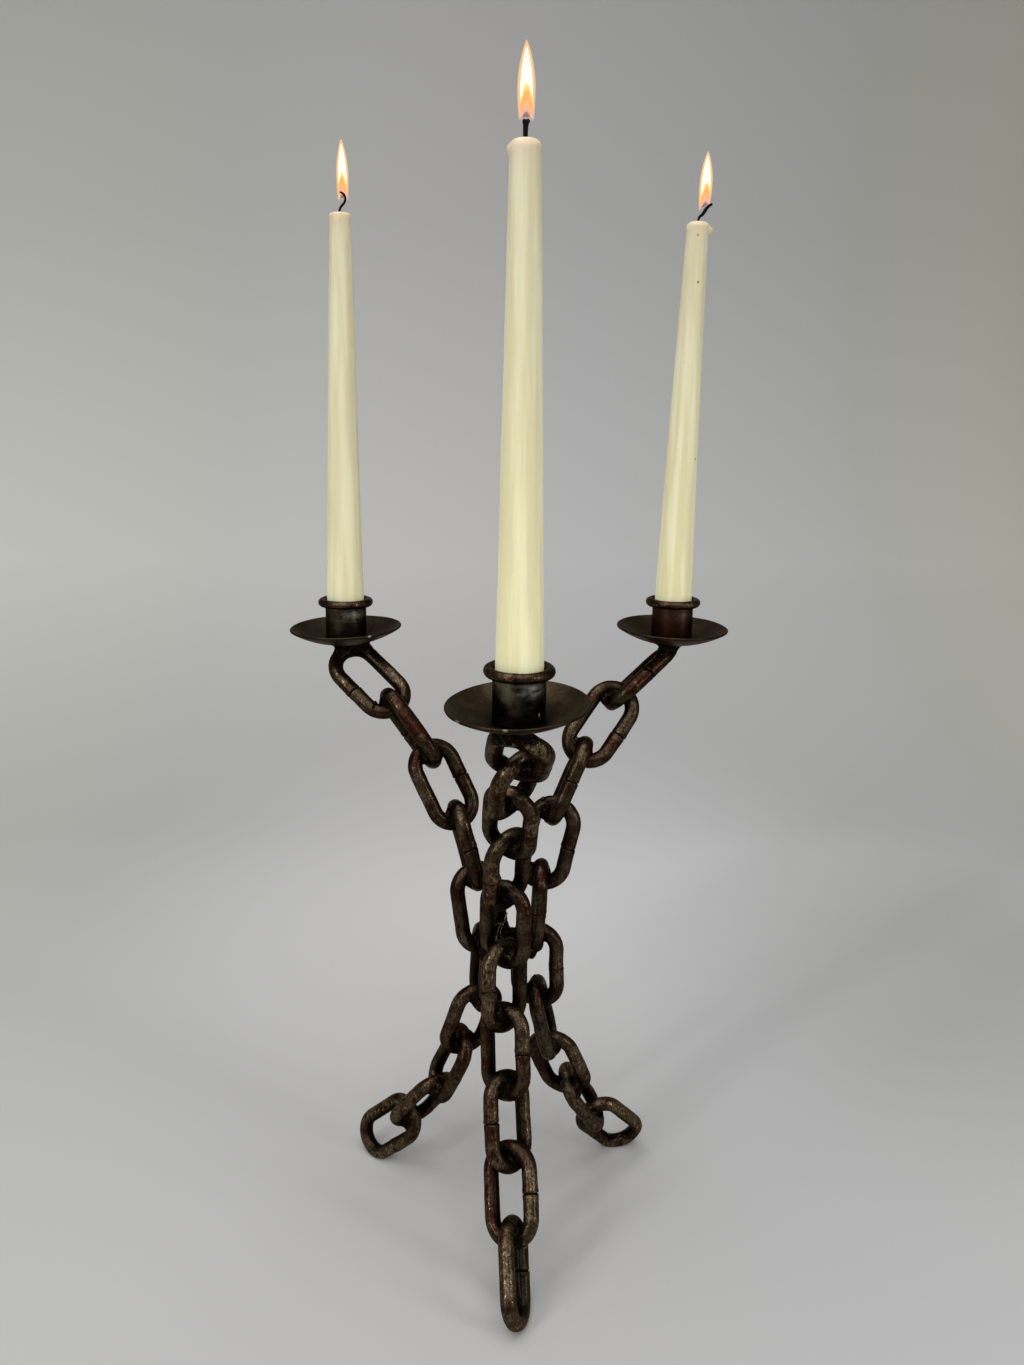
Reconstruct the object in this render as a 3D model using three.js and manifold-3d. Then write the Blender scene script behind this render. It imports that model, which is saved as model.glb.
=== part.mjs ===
import * as THREE from "three";
import { mergeVertices } from "three/addons/utils/BufferGeometryUtils.js";
import Module from "manifold-3d";

// A candelabra of three welded steel chains. Each chain climbs from a splayed foot link, leans in to
// a waist where the three are welded together, and leans out again to a drip pan with a candle.
// Lengths are in mm and angles in degrees. +Z is up and the front chain stands towards -Y.

// Chain links. Chain is made to its bar: a link's opening is so many bars long and wide.
const BAR_DIAMETER = 9.5;
const BARS_ALONG_OPENING = 4.474;
const BARS_ACROSS_OPENING = 1.758;
const SEAM_DEPTH = 0.7;
const SEAM_WIDTH = 2;
const LINK_GAP = 0.4;
const FOOT_FLAT_DEPTH = 0.5;

// Welds
const WELD_GAP = 0.3;
const WAIST_WELD_THROAT = 0.5;
const WAIST_BEAD_RADIUS = 5;
const NECK_TOP_RADIUS = 8.5;
const NECK_FOOT_RADIUS = 6;

// Drip pans
const PAN_RADIUS = 35.7;
const PAN_DEPTH = 10.5;
const PAN_WALL = 1.5;

// Candles and their sockets
const CANDLE_LENGTH = 257;
const CANDLE_DIAMETER = 23;
const CANDLE_TIP_DIAMETER = 13;
const CANDLE_SHOULDER = 4;
const CANDLE_GAP = 0.3;
const SOCKET_WALL = 0.9;
const SOCKET_HEIGHT = 25.4;
const COLLAR_BAR = 5.2;
const COLLAR_LIP = 0.5;
const SEAT_GAP = 0.3;
const WICK_DIAMETER = 1.6;
const WICK_WELL_DEPTH = 1;

// Each chain has its bearing round the waist and how far its foot stands out past the front chain's.
// Its links follow from the foot up: how far each leans outward, how far it is rolled about its own
// length, how far it swings to its side, and which of its two legs has the butt seam.
// The pan stands to one side of the top link's crown and is tilted outward and to its side.
// Each candle has burnt down by its own length.
const CHAINS = [
  {
    name: "front",
    bearing: -89,
    reach: 0,
    leans: [-41, -36, -28, -18, -6, 6, 20, 32, 45, 55],
    rolls: [-67, 30, -38, 37, -38, 35, -40, 33, -43, 20],
    swings: [-1, -1, -2, -1, 0, 0, 0, 0, 0, 0],
    seams: [1, 1, -1, 1, -1, 1, -1, 1, -1, 1],
    pan: { out: 0.6, side: 3.3, tiltOut: 3, tiltSide: -3, neck: 1.8 },
    burnt: 0,
    wick: [[0, 3], [0.2, 7]],
  },
  {
    name: "left",
    bearing: 149,
    reach: 3,
    leans: [-47, -37, -25, -20, -3, 9, 18, 30, 43, 54],
    rolls: [-72, 25, -46, 38, -42, 38, -42, 35, -47, 34],
    swings: [-1, -1, -1, 1, 0, 0, 0, 0, 0, 0],
    seams: [1, -1, 1, -1, 1, -1, 1, -1, 1, 1],
    pan: { out: 2.5, side: 5.2, tiltOut: 1, tiltSide: 2, neck: 0.5 },
    burnt: 0,
    wick: [[-0.3, 2.5], [2.4, 5.2], [3.3, 8], [1, 10.9]],
  },
  {
    name: "right",
    bearing: 31,
    reach: 0,
    leans: [-44, -36, -26, -15, -3, 4, 15, 28, 42, 57],
    rolls: [-62, 33, -39, 40, -40, 36, -42, 36, -47, 30],
    swings: [0, -2, -1, 0, -1, 1, 0, 0, 0, 0],
    seams: [1, -1, 1, -1, -1, -1, -1, -1, -1, -1],
    pan: { out: 3.4, side: 1.8, tiltOut: 0, tiltSide: -2, neck: 0.5 },
    burnt: 3,
    wick: [[0.5, 2.4], [3.3, 5.4], [4.5, 7.8], [6.9, 9.3]],
  },
];

// The links that a weld bead ties together at the waist, counted from the foot.
const WAIST_WELDS = [
  { name: "waist_weld_front_left", from: ["front", 6], to: ["left", 5] },
  { name: "waist_weld_front_left_low", from: ["front", 4], to: ["left", 5] },
  { name: "waist_weld_front_right", from: ["front", 5], to: ["right", 6] },
  { name: "waist_weld_left_right", from: ["left", 6], to: ["right", 5] },
];

// Fineness of the round forms
const BAR_SIDES = 9;
const BEND_STEPS = 6;
const NEAREST_STEPS = 48;
const SEARCH_ROUNDS = 18;
const PAN_SIDES = 32;
const PAN_STEPS = 4;
const TUBE_SIDES = 24;
const COLLAR_STEPS = 22;
const COLLAR_SIDES = 7;
const CANDLE_SIDES = 20;
const SHOULDER_STEPS = 3;
const WICK_SIDES = 6;
const WICK_STEPS = 6;
const NECK_SIDES = 14;
const BEAD_SIDES = 10;
const BEAD_BANDS = 6;
const MERGE_DISTANCE = 0.001;

// Sizes that follow from the ones above
const BAR_RADIUS = BAR_DIAMETER / 2;
const LINK_INNER_LENGTH = BARS_ALONG_OPENING * BAR_DIAMETER;
const LINK_INNER_WIDTH = BARS_ACROSS_OPENING * BAR_DIAMETER;
const BEND_RADIUS = (LINK_INNER_WIDTH + BAR_DIAMETER) / 2;
const LEG_HALF = (LINK_INNER_LENGTH + BAR_DIAMETER) / 2 - BEND_RADIUS;
const LINK_LENGTH = LINK_INNER_LENGTH + 2 * BAR_DIAMETER;
const WAIST_GAP = 2 * WELD_GAP + WAIST_WELD_THROAT;
const PAN_CURVE = (PAN_RADIUS ** 2 + PAN_DEPTH ** 2) / (2 * PAN_DEPTH);
const BORE_RADIUS = CANDLE_DIAMETER / 2 + CANDLE_GAP;
const SOCKET_RADIUS = BORE_RADIUS + SOCKET_WALL;
const COLLAR_RADIUS = BORE_RADIUS + COLLAR_LIP + COLLAR_BAR / 2;
const COLLAR_RISE = Math.sqrt((COLLAR_BAR / 2 + SEAT_GAP) ** 2 - (COLLAR_RADIUS - SOCKET_RADIUS) ** 2);

const METAL = { chain: 0x33281c, pan: 0x3a3226, socket: 0x3f3a33, weld: 0x2a221a };
const WAX_COLOUR = 0xe9e2c4;
const WICK_COLOUR = 0x0d0b0a;

const UP = new THREE.Vector3(0, 0, 1);
const wasm = await Module();
wasm.setup();

const metal = (color) => new THREE.MeshStandardMaterial({ color, roughness: 0.45, metalness: 0.9 });
const matte = (color) => new THREE.MeshStandardMaterial({ color, roughness: 0.6, metalness: 0 });
const radians = THREE.MathUtils.degToRad;

function solidOf(geometry) {
  const bare = geometry.clone();
  bare.deleteAttribute("normal");
  bare.deleteAttribute("uv");
  const merged = mergeVertices(bare, MERGE_DISTANCE);
  const vertProperties = merged.attributes.position.array;
  const triVerts = new Uint32Array(merged.index.array);
  return new wasm.Manifold(new wasm.Mesh({ numProp: 3, vertProperties, triVerts }));
}

function geometryOf(solid) {
  const mesh = solid.getMesh();
  const geometry = new THREE.BufferGeometry();
  geometry.setAttribute("position", new THREE.BufferAttribute(mesh.vertProperties, 3));
  geometry.setIndex(new THREE.BufferAttribute(mesh.triVerts, 1));
  return geometry;
}

function cutBy(geometry, tools) {
  return geometryOf(tools.reduce((left, tool) => left.subtract(solidOf(tool)), solidOf(geometry)));
}

function meshOf(name, geometry, material) {
  const mesh = new THREE.Mesh(geometry, material);
  mesh.name = name;
  return mesh;
}

// A bar bent along a path that lies in the plane of x and y. Each step has its point, the direction
// that points out of the bend, and its radius. A closed bar is a ring, an open one has flat ends.
function bentBar(steps, sides, closed) {
  const positions = [];
  const faces = [];
  for (const { x, y, outX, outY, radius } of steps) {
    for (let side = 0; side < sides; side++) {
      const angle = (2 * Math.PI * side) / sides;
      const out = radius * Math.cos(angle);
      positions.push(x + outX * out, y + outY * out, -radius * Math.sin(angle));
    }
  }
  const spans = closed ? steps.length : steps.length - 1;
  for (let step = 0; step < spans; step++) {
    const here = step * sides;
    const next = ((step + 1) % steps.length) * sides;
    for (let side = 0; side < sides; side++) {
      const beside = (side + 1) % sides;
      faces.push(here + side, here + beside, next + side);
      faces.push(here + beside, next + beside, next + side);
    }
  }
  const end = (steps.length - 1) * sides;
  for (let side = 1; !closed && side < sides - 1; side++) {
    faces.push(0, side + 1, side);
    faces.push(end, end + side, end + side + 1);
  }
  const geometry = new THREE.BufferGeometry();
  geometry.setAttribute("position", new THREE.Float32BufferAttribute(positions, 3));
  geometry.setIndex(faces);
  return geometry;
}

// One step of the upper bend (end 1) or the lower bend (end -1) of a link, at an angle round it.
function bendStep(end, angle, radius) {
  const outX = end * Math.cos(angle);
  const outY = end * Math.sin(angle);
  return { x: BEND_RADIUS * outX, y: BEND_RADIUS * outY + end * LEG_HALF, outX, outY, radius };
}

// A round-bar link: its length lies along y and its butt seam is a groove in the leg at +x.
function linkGeometry(barDiameter) {
  const radius = barDiameter / 2;
  const seam = (y, depth) => ({ x: BEND_RADIUS, y, outX: 1, outY: 0, radius: radius - depth });
  const steps = [seam(-SEAM_WIDTH / 2, 0), seam(0, SEAM_DEPTH), seam(SEAM_WIDTH / 2, 0)];
  for (const end of [1, -1]) {
    for (let i = 0; i <= BEND_STEPS; i++) steps.push(bendStep(end, (Math.PI * i) / BEND_STEPS, radius));
  }
  return bentBar(steps, BAR_SIDES, true);
}

const LINK = linkGeometry(BAR_DIAMETER);
const THICK_LINK = linkGeometry(BAR_DIAMETER + 2 * WELD_GAP);

// How a link stands: along is its length, across its width, and seam the leg that has the butt seam.
function linkPose(chain, index) {
  const bearing = radians(chain.bearing);
  const lean = radians(chain.leans[index]);
  const roll = radians(chain.rolls[index]);
  const swing = radians(chain.swings[index]);
  const outward = new THREE.Vector3(Math.cos(bearing), Math.sin(bearing), 0);
  const sideways = new THREE.Vector3(-Math.sin(bearing), Math.cos(bearing), 0);
  const along = outward.clone().multiplyScalar(Math.sin(lean) * Math.cos(swing));
  along.addScaledVector(UP, Math.cos(lean) * Math.cos(swing));
  along.addScaledVector(sideways, Math.sin(swing));
  const level = sideways.clone().addScaledVector(along, -sideways.dot(along)).normalize();
  const across = level.clone().multiplyScalar(Math.cos(roll));
  across.addScaledVector(along.clone().cross(level), -Math.sin(roll));
  return { along, across, centre: new THREE.Vector3(), seam: chain.seams[index] };
}

// Points of a link's centreline, evenly spaced round each bend and down each leg.
function centreline(pose) {
  const points = [];
  const place = (x, y) => {
    const point = pose.centre.clone().addScaledVector(pose.across, x);
    points.push(point.addScaledVector(pose.along, y));
  };
  for (const end of [1, -1]) {
    for (let i = 0; i <= NEAREST_STEPS; i++) {
      const { x, y } = bendStep(end, (Math.PI * i) / NEAREST_STEPS, 0);
      place(x, y);
    }
  }
  for (let i = 0; i <= NEAREST_STEPS; i++) {
    const y = LEG_HALF * ((2 * i) / NEAREST_STEPS - 1);
    place(BEND_RADIUS, y);
    place(-BEND_RADIUS, y);
  }
  return points;
}

function nearestPoints(first, second) {
  let best = { distance: Infinity };
  for (const from of first) {
    for (const to of second) {
      const distance = from.distanceTo(to);
      if (distance < best.distance) best = { distance, from, to };
    }
  }
  return best;
}

// The largest value between low and high for which clear(value) still holds. It holds at low.
function lastClear(low, high, clear) {
  for (let round = 0; round < SEARCH_ROUNDS; round++) {
    const middle = (low + high) / 2;
    if (clear(middle)) low = middle;
    else high = middle;
  }
  return low;
}

// How far link centres stand apart when the upper link is pulled taut against the lower one.
function tautSpacing(lower, upper) {
  const below = centreline(lower);
  const reset = upper.centre.clone();
  const clear = (spacing) => {
    upper.centre.copy(lower.centre).addScaledVector(lower.along, spacing / 2);
    upper.centre.addScaledVector(upper.along, spacing / 2);
    return nearestPoints(below, centreline(upper)).distance > BAR_DIAMETER + LINK_GAP;
  };
  const spacing = lastClear(LINK_INNER_LENGTH - 2 * BAR_DIAMETER, LINK_INNER_LENGTH, clear);
  upper.centre.copy(reset);
  return spacing;
}

// The links of a chain, pulled taut, with the foot link sunk below the floor by the depth of its flat.
function chainPoses(chain) {
  const poses = chain.leans.map((_, index) => linkPose(chain, index));
  for (let i = 1; i < poses.length; i++) {
    const lower = poses[i - 1];
    const upper = poses[i];
    const spacing = tautSpacing(lower, upper);
    upper.centre.copy(lower.centre).addScaledVector(lower.along, spacing / 2);
    upper.centre.addScaledVector(upper.along, spacing / 2);
  }
  const footBounds = new THREE.Box3().setFromBufferAttribute(placed(LINK, poses[0]).attributes.position);
  const rise = -FOOT_FLAT_DEPTH - footBounds.min.z;
  for (const pose of poses) pose.centre.z += rise;
  return poses;
}

function outwardOf(chain) {
  const bearing = radians(chain.bearing);
  return new THREE.Vector3(Math.cos(bearing), Math.sin(bearing), 0);
}

function shiftPoses(chain, poses, distance) {
  const outward = outwardOf(chain);
  return poses.map((pose) => ({ ...pose, centre: pose.centre.clone().addScaledVector(outward, distance) }));
}

// Whether the bars of no two chains come nearer than the gap at the waist.
function waistClear(chains) {
  for (let i = 0; i < chains.length; i++) {
    for (let j = i + 1; j < chains.length; j++) {
      for (const one of chains[i]) {
        for (const other of chains[j]) {
          if (one.centre.distanceTo(other.centre) > LINK_LENGTH + WAIST_GAP) continue;
          const { distance } = nearestPoints(centreline(one), centreline(other));
          if (distance < BAR_DIAMETER + WAIST_GAP) return false;
        }
      }
    }
  }
  return true;
}

// The chains brought together from far apart until the nearest two bars stand at the waist's gap.
function gatherChains() {
  const chains = CHAINS.map(chainPoses);
  const at = (distance) => CHAINS.map((chain, i) => shiftPoses(chain, chains[i], distance + chain.reach));
  const apart = chains[0].length * LINK_LENGTH;
  const inward = lastClear(0, apart, (step) => waistClear(at(apart - step)));
  return at(apart - inward);
}

function placed(geometry, pose) {
  const turn = pose.seam < 0 ? -1 : 1;
  const across = pose.across.clone().multiplyScalar(turn);
  const along = pose.along.clone().multiplyScalar(turn);
  const basis = new THREE.Matrix4().makeBasis(across, along, across.clone().cross(along));
  return geometry.clone().applyMatrix4(basis.setPosition(pose.centre));
}

// The links of one chain. The foot link is ground flat where it stands on the floor.
function makeLinks(chain, poses) {
  const floor = new THREE.BoxGeometry(2 * LINK_LENGTH, 2 * LINK_LENGTH, LINK_LENGTH);
  return poses.map((pose, index) => {
    const name = `${chain.name}_link_${String(index + 1).padStart(2, "0")}`;
    const geometry = placed(LINK, pose);
    if (index > 0) return meshOf(name, geometry, metal(METAL.chain));
    const below = floor.clone().translate(pose.centre.x, pose.centre.y, -LINK_LENGTH / 2);
    return meshOf(name, cutBy(geometry, [below]), metal(METAL.chain));
  });
}

// The links near a point, each thickened by the weld's gap on every side.
function thickLinksNear(point, reach, allPoses) {
  const near = allPoses.filter((pose) => pose.centre.distanceTo(point) < reach + LINK_LENGTH / 2);
  return near.map((pose) => placed(THICK_LINK, pose));
}

// A weld bead between two bars: an ellipsoid that spans from bar to bar, cut back from both.
function makeWaistWeld({ name, from, to }, posesOf, allPoses) {
  const lineOf = ([chainName, link]) => centreline(posesOf[chainName][link - 1]);
  const nearest = nearestPoints(lineOf(from), lineOf(to));
  const middle = nearest.from.clone().lerp(nearest.to, 0.5);
  const across = nearest.to.clone().sub(nearest.from).normalize();
  const bead = new THREE.SphereGeometry(WAIST_BEAD_RADIUS, BEAD_SIDES, BEAD_BANDS);
  bead.scale(1, nearest.distance / 2 / WAIST_BEAD_RADIUS, 1);
  bead.applyQuaternion(new THREE.Quaternion().setFromUnitVectors(new THREE.Vector3(0, 1, 0), across));
  bead.translate(middle.x, middle.y, middle.z);
  return meshOf(name, cutBy(bead, thickLinksNear(middle, WAIST_BEAD_RADIUS, allPoses)), metal(METAL.weld));
}

// Points along a dish of the given curve, from its axis out to its rim. All its faces share one centre.
function dishArc(curve) {
  const rimAngle = Math.asin(PAN_RADIUS / PAN_CURVE);
  return Array.from({ length: PAN_STEPS + 1 }, (_, i) => {
    const angle = (rimAngle * i) / PAN_STEPS;
    return new THREE.Vector2(curve * Math.sin(angle), PAN_CURVE - curve * Math.cos(angle));
  });
}

// A solid of revolution about z.
function turned(profile, sides) {
  return new THREE.LatheGeometry(profile, sides).rotateX(Math.PI / 2);
}

// Where a pan stands: its lowest point, the centre of its curve, and the turn that tilts it.
function panPlace(chain, topPose) {
  const outward = outwardOf(chain);
  const sideways = UP.clone().cross(outward);
  const { out, side, tiltOut, tiltSide, neck } = chain.pan;
  const line = centreline(topPose);
  const crown = line.reduce((high, point) => (point.z > high.z ? point : high));
  const axis = UP.clone().addScaledVector(outward, Math.tan(radians(tiltOut)));
  axis.addScaledVector(sideways, Math.tan(radians(tiltSide))).normalize();
  const base = crown.clone().addScaledVector(outward, out).addScaledVector(sideways, side);
  const curveCentre = base.clone().addScaledVector(axis, PAN_CURVE);
  const apart = PAN_CURVE + BAR_RADIUS + neck;
  const heights = line.map((point) => {
    const flat = Math.hypot(point.x - curveCentre.x, point.y - curveCentre.y);
    return point.z + Math.sqrt(apart ** 2 - flat ** 2);
  });
  base.z += Math.max(...heights) - curveCentre.z;
  curveCentre.z = base.z + PAN_CURVE * axis.z;
  return { base, curveCentre, crown, turn: new THREE.Quaternion().setFromUnitVectors(UP, axis) };
}

// The height of a pan's inner face above a point of the floor plan.
function dishHeight(place, x, y) {
  const flat = Math.hypot(x - place.curveCentre.x, y - place.curveCentre.y);
  return place.curveCentre.z - Math.sqrt((PAN_CURVE - PAN_WALL) ** 2 - flat ** 2);
}

function standOn(place, geometry) {
  return geometry.applyQuaternion(place.turn).translate(place.base.x, place.base.y, place.base.z);
}

function makePan(chain, place) {
  const profile = [...dishArc(PAN_CURVE), ...dishArc(PAN_CURVE - PAN_WALL).reverse()];
  const dish = turned(profile, PAN_SIDES);
  return meshOf(`${chain.name}_drip_pan`, standOn(place, dish), metal(METAL.pan));
}

// The weld that joins a pan to the crown of its top link and flares into the pan's underside.
function makeNeck(chain, place, poses) {
  const foot = place.crown.z;
  const top = place.base.z + PAN_DEPTH / 2;
  const profile = [
    new THREE.Vector2(0, foot),
    new THREE.Vector2(NECK_FOOT_RADIUS, foot),
    new THREE.Vector2(NECK_FOOT_RADIUS, (foot + BAR_RADIUS + place.base.z) / 2),
    new THREE.Vector2(NECK_TOP_RADIUS, place.base.z + WELD_GAP),
    new THREE.Vector2(NECK_TOP_RADIUS, top),
    new THREE.Vector2(0, top),
  ];
  const neck = turned(profile, NECK_SIDES).translate(place.crown.x, place.crown.y, 0);
  const underside = dishArc(PAN_CURVE + WELD_GAP);
  const panSolid = turned([...underside, new THREE.Vector2(0, underside.at(-1).y)], PAN_SIDES);
  const tools = [standOn(place, panSolid), ...thickLinksNear(place.crown, NECK_TOP_RADIUS, poses)];
  return meshOf(`${chain.name}_pan_weld`, cutBy(neck, tools), metal(METAL.weld));
}

// The socket is an upright tube whose foot is scribed to the curve and tilt of its pan.
function makeSocket(chain, place) {
  const profile = [
    new THREE.Vector2(BORE_RADIUS, 0),
    new THREE.Vector2(SOCKET_RADIUS, 0),
    new THREE.Vector2(SOCKET_RADIUS, SOCKET_HEIGHT),
    new THREE.Vector2(BORE_RADIUS, SOCKET_HEIGHT),
    new THREE.Vector2(BORE_RADIUS, 0),
  ];
  const tube = turned(profile, TUBE_SIDES).translate(place.base.x, place.base.y, place.base.z);
  const points = tube.attributes.position;
  for (let i = 0; i < points.count; i++) {
    if (points.getZ(i) > place.base.z + SOCKET_HEIGHT / 2) continue;
    points.setZ(i, dishHeight(place, points.getX(i), points.getY(i)) + SEAT_GAP);
  }
  return meshOf(`${chain.name}_socket`, tube, metal(METAL.socket));
}

// The collar is round bar rolled into a ring that sits on the outer edge of the socket's mouth.
function makeCollar(chain, place) {
  const steps = [];
  for (let i = 0; i < COLLAR_STEPS; i++) {
    const angle = (2 * Math.PI * i) / COLLAR_STEPS;
    const outX = Math.cos(angle);
    const outY = Math.sin(angle);
    steps.push({ x: COLLAR_RADIUS * outX, y: COLLAR_RADIUS * outY, outX, outY, radius: COLLAR_BAR / 2 });
  }
  const ring = bentBar(steps, COLLAR_SIDES, true);
  ring.translate(place.base.x, place.base.y, place.base.z + SOCKET_HEIGHT + COLLAR_RISE);
  return meshOf(`${chain.name}_collar`, ring, metal(METAL.socket));
}

// A candle stands level on the highest point of the dish under its foot.
function candleFoot(place) {
  const { x, y } = place.base;
  const radius = CANDLE_DIAMETER / 2;
  const heights = Array.from({ length: TUBE_SIDES }, (_, i) => {
    const angle = (2 * Math.PI * i) / TUBE_SIDES;
    return dishHeight(place, x + radius * Math.cos(angle), y + radius * Math.sin(angle));
  });
  return Math.max(...heights) + SEAT_GAP;
}

// A taper candle: straight inside its socket, then narrowing to a rounded shoulder with a wick's well.
function makeCandle(chain, place, foot) {
  const length = CANDLE_LENGTH - chain.burnt;
  const radius = CANDLE_DIAMETER / 2;
  const tipRadius = CANDLE_TIP_DIAMETER / 2;
  const mouth = place.base.z + SOCKET_HEIGHT - foot;
  const profile = [new THREE.Vector2(0, 0), new THREE.Vector2(radius, 0), new THREE.Vector2(radius, mouth)];
  const crownRadius = tipRadius / 2;
  for (let i = 0; i <= SHOULDER_STEPS; i++) {
    const angle = (Math.PI / 2) * (i / SHOULDER_STEPS);
    const out = crownRadius + (tipRadius - crownRadius) * Math.cos(angle);
    profile.push(new THREE.Vector2(out, length - CANDLE_SHOULDER * (1 - Math.sin(angle))));
  }
  profile.push(new THREE.Vector2(WICK_DIAMETER, length - WICK_WELL_DEPTH));
  profile.push(new THREE.Vector2(0, length - WICK_WELL_DEPTH));
  const candle = turned(profile, CANDLE_SIDES).translate(place.base.x, place.base.y, foot);
  return meshOf(`${chain.name}_candle`, candle, matte(WAX_COLOUR));
}

// A burnt wick: a thin cord that stands in the candle's well and curls through the chain's wick points,
// each a distance to the right and a height above the candle's tip.
function makeWick(chain, place, foot) {
  const well = new THREE.Vector3(0, -WICK_WELL_DEPTH, 0);
  const bends = chain.wick.map(([right, high]) => new THREE.Vector3(right, high, 0));
  const curve = new THREE.CatmullRomCurve3([well, ...bends]);
  const steps = [];
  for (let i = 0; i <= WICK_STEPS; i++) {
    const point = curve.getPointAt(i / WICK_STEPS);
    const heading = i === 0 ? new THREE.Vector3(0, 1, 0) : curve.getTangentAt(i / WICK_STEPS);
    steps.push({ x: point.x, y: point.y, outX: heading.y, outY: -heading.x, radius: WICK_DIAMETER / 2 });
  }
  const wick = bentBar(steps, WICK_SIDES, false).rotateX(Math.PI / 2);
  wick.translate(place.base.x, place.base.y, foot + CANDLE_LENGTH - chain.burnt);
  return meshOf(`${chain.name}_wick`, wick, matte(WICK_COLOUR));
}

function makeCup(chain, poses) {
  const place = panPlace(chain, poses.at(-1));
  const foot = candleFoot(place);
  return [
    makePan(chain, place),
    makeNeck(chain, place, poses),
    makeSocket(chain, place),
    makeCollar(chain, place),
    makeCandle(chain, place, foot),
    makeWick(chain, place, foot),
  ];
}

// The whole object, standing on the floor with its bounding box centred over the origin.
function makeCandelabra() {
  const gathered = gatherChains();
  const posesOf = Object.fromEntries(CHAINS.map((chain, i) => [chain.name, gathered[i]]));
  const whole = new THREE.Group();
  CHAINS.forEach((chain, i) => {
    whole.add(...makeLinks(chain, gathered[i]));
    whole.add(...makeCup(chain, gathered[i]));
  });
  for (const weld of WAIST_WELDS) whole.add(makeWaistWeld(weld, posesOf, gathered.flat()));
  const centre = new THREE.Box3().setFromObject(whole).getCenter(new THREE.Vector3());
  whole.position.set(-centre.x, -centre.y, 0);
  const candelabra = new THREE.Group();
  candelabra.name = "candelabra";
  candelabra.add(whole);
  return candelabra;
}

export default makeCandelabra();
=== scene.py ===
import math
import random

import bmesh
import bpy
import numpy as np
from bpy.props import FloatProperty, FloatVectorProperty, IntProperty, PointerProperty
from bpy.types import Operator, Panel, PropertyGroup
from mathutils import Matrix, Vector, noise


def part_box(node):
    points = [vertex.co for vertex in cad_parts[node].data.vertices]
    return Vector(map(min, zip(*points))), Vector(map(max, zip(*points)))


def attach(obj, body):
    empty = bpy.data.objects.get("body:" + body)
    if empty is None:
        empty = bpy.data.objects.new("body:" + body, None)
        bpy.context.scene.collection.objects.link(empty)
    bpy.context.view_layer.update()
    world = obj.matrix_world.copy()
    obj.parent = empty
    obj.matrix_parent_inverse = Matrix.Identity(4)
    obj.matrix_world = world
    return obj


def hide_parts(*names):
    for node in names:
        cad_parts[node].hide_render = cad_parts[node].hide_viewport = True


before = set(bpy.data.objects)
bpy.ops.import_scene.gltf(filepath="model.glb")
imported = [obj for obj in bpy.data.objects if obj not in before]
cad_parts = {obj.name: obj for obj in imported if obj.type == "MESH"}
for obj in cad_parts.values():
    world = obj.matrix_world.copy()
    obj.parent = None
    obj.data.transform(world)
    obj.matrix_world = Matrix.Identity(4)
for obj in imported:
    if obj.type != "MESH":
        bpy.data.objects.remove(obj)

bl_info = {
    "name": "Chain candelabra",
    "version": (1, 0, 0),
    "blender": (4, 5, 0),
    "location": "3D View > Sidebar > Candelabra",
    "description": "Dresses a candelabra of welded chain: links, welds, drip pans, candles and flames",
    "category": "Add Mesh",
}

CHAINS = ("front", "left", "right")
LINKS_PER_CHAIN = 10
METAL_BODY = "frame"
MM = 0.001
FULL_TURN = 2 * math.pi
UP = Vector((0, 0, 1))
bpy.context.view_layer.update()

# The links that stand in the waist, counted from nothing at the foot.
WAIST_LINK = 5

# A nib of scale on the front socket, with a painted glint.
SOCKET_NIB = Vector((0.0052, -0.1025, 0.381))

# Sides that a weld bead can be laid on, as the camera sees them.
SIDES = {
    "left": Vector((-1, 0, 0)), "right": Vector((1, 0, 0)), "near": Vector((0, -1, 0)), "low": Vector((0, 0, -1)),
    "near_left": Vector((-0.7, -0.7, 0)), "near_right": Vector((0.7, -0.7, 0)),
}

# The side of each crossing that has the larger bead, from the foot up.
CROSSING_SIDES = {
    "front": "near_right near_right near near_left near near_left near_right near_left near_right".split(),
    "left": "near near_left right near near_left near left near near_left".split(),
    "right": "near_left near near_right near left near_right near_left near low".split(),
}

# Links whose butt seam shows on the leg away from the one that the solid model gives it.
SEAM_ON_OTHER_LEG = ("left_link_09",)

# How far each butt seam gapes, from the foot up: 0 for one forged shut and 1 for an open crack.
SEAM_OPENNESS = {
    "front": (0.8, 0.8, 0.8, 0.55, 0.3, 0.15, 0.2, 0.3, 0.3, 0.2),
    "left": (0.5, 0.3, 0.3, 0.2, 0.3, 0.3, 0.8, 0.8, 0.7, 0.8),
    "right": (0.5, 0.4, 0.2, 0.3, 0.4, 0.3, 0.8, 0.8, 0.8, 0.8),
}

# Heights above a butt seam at which a leg has a ring of vertices, in metres.
SEAM_ROWS = (0.0001, 0.0002, 0.0004, 0.0008, 0.0015, 0.0026, 0.0042, 0.0064, 0.0092)

# Drops of spatter on the chains, with the weld bead that each belongs to: place and radius, in
# millimetres.
SPATTER = {
    "right_link_08": ((20.9, 44.3, 284.9, 1.3),),
    "right_link_06": ((17.7, 41.3, 162.1, 1.2),),
    "left_link_10": ((-85.6, 67.4, 341.0, 1.6), (-86.5, 65.6, 339.2, 1.1)),
    "left_link_08": ((-43.6, 42.4, 276.6, 1.2), (-40.5, 43.9, 274.8, 1.4), (-36.9, 44.7, 273.2, 1.1)),
}

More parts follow.
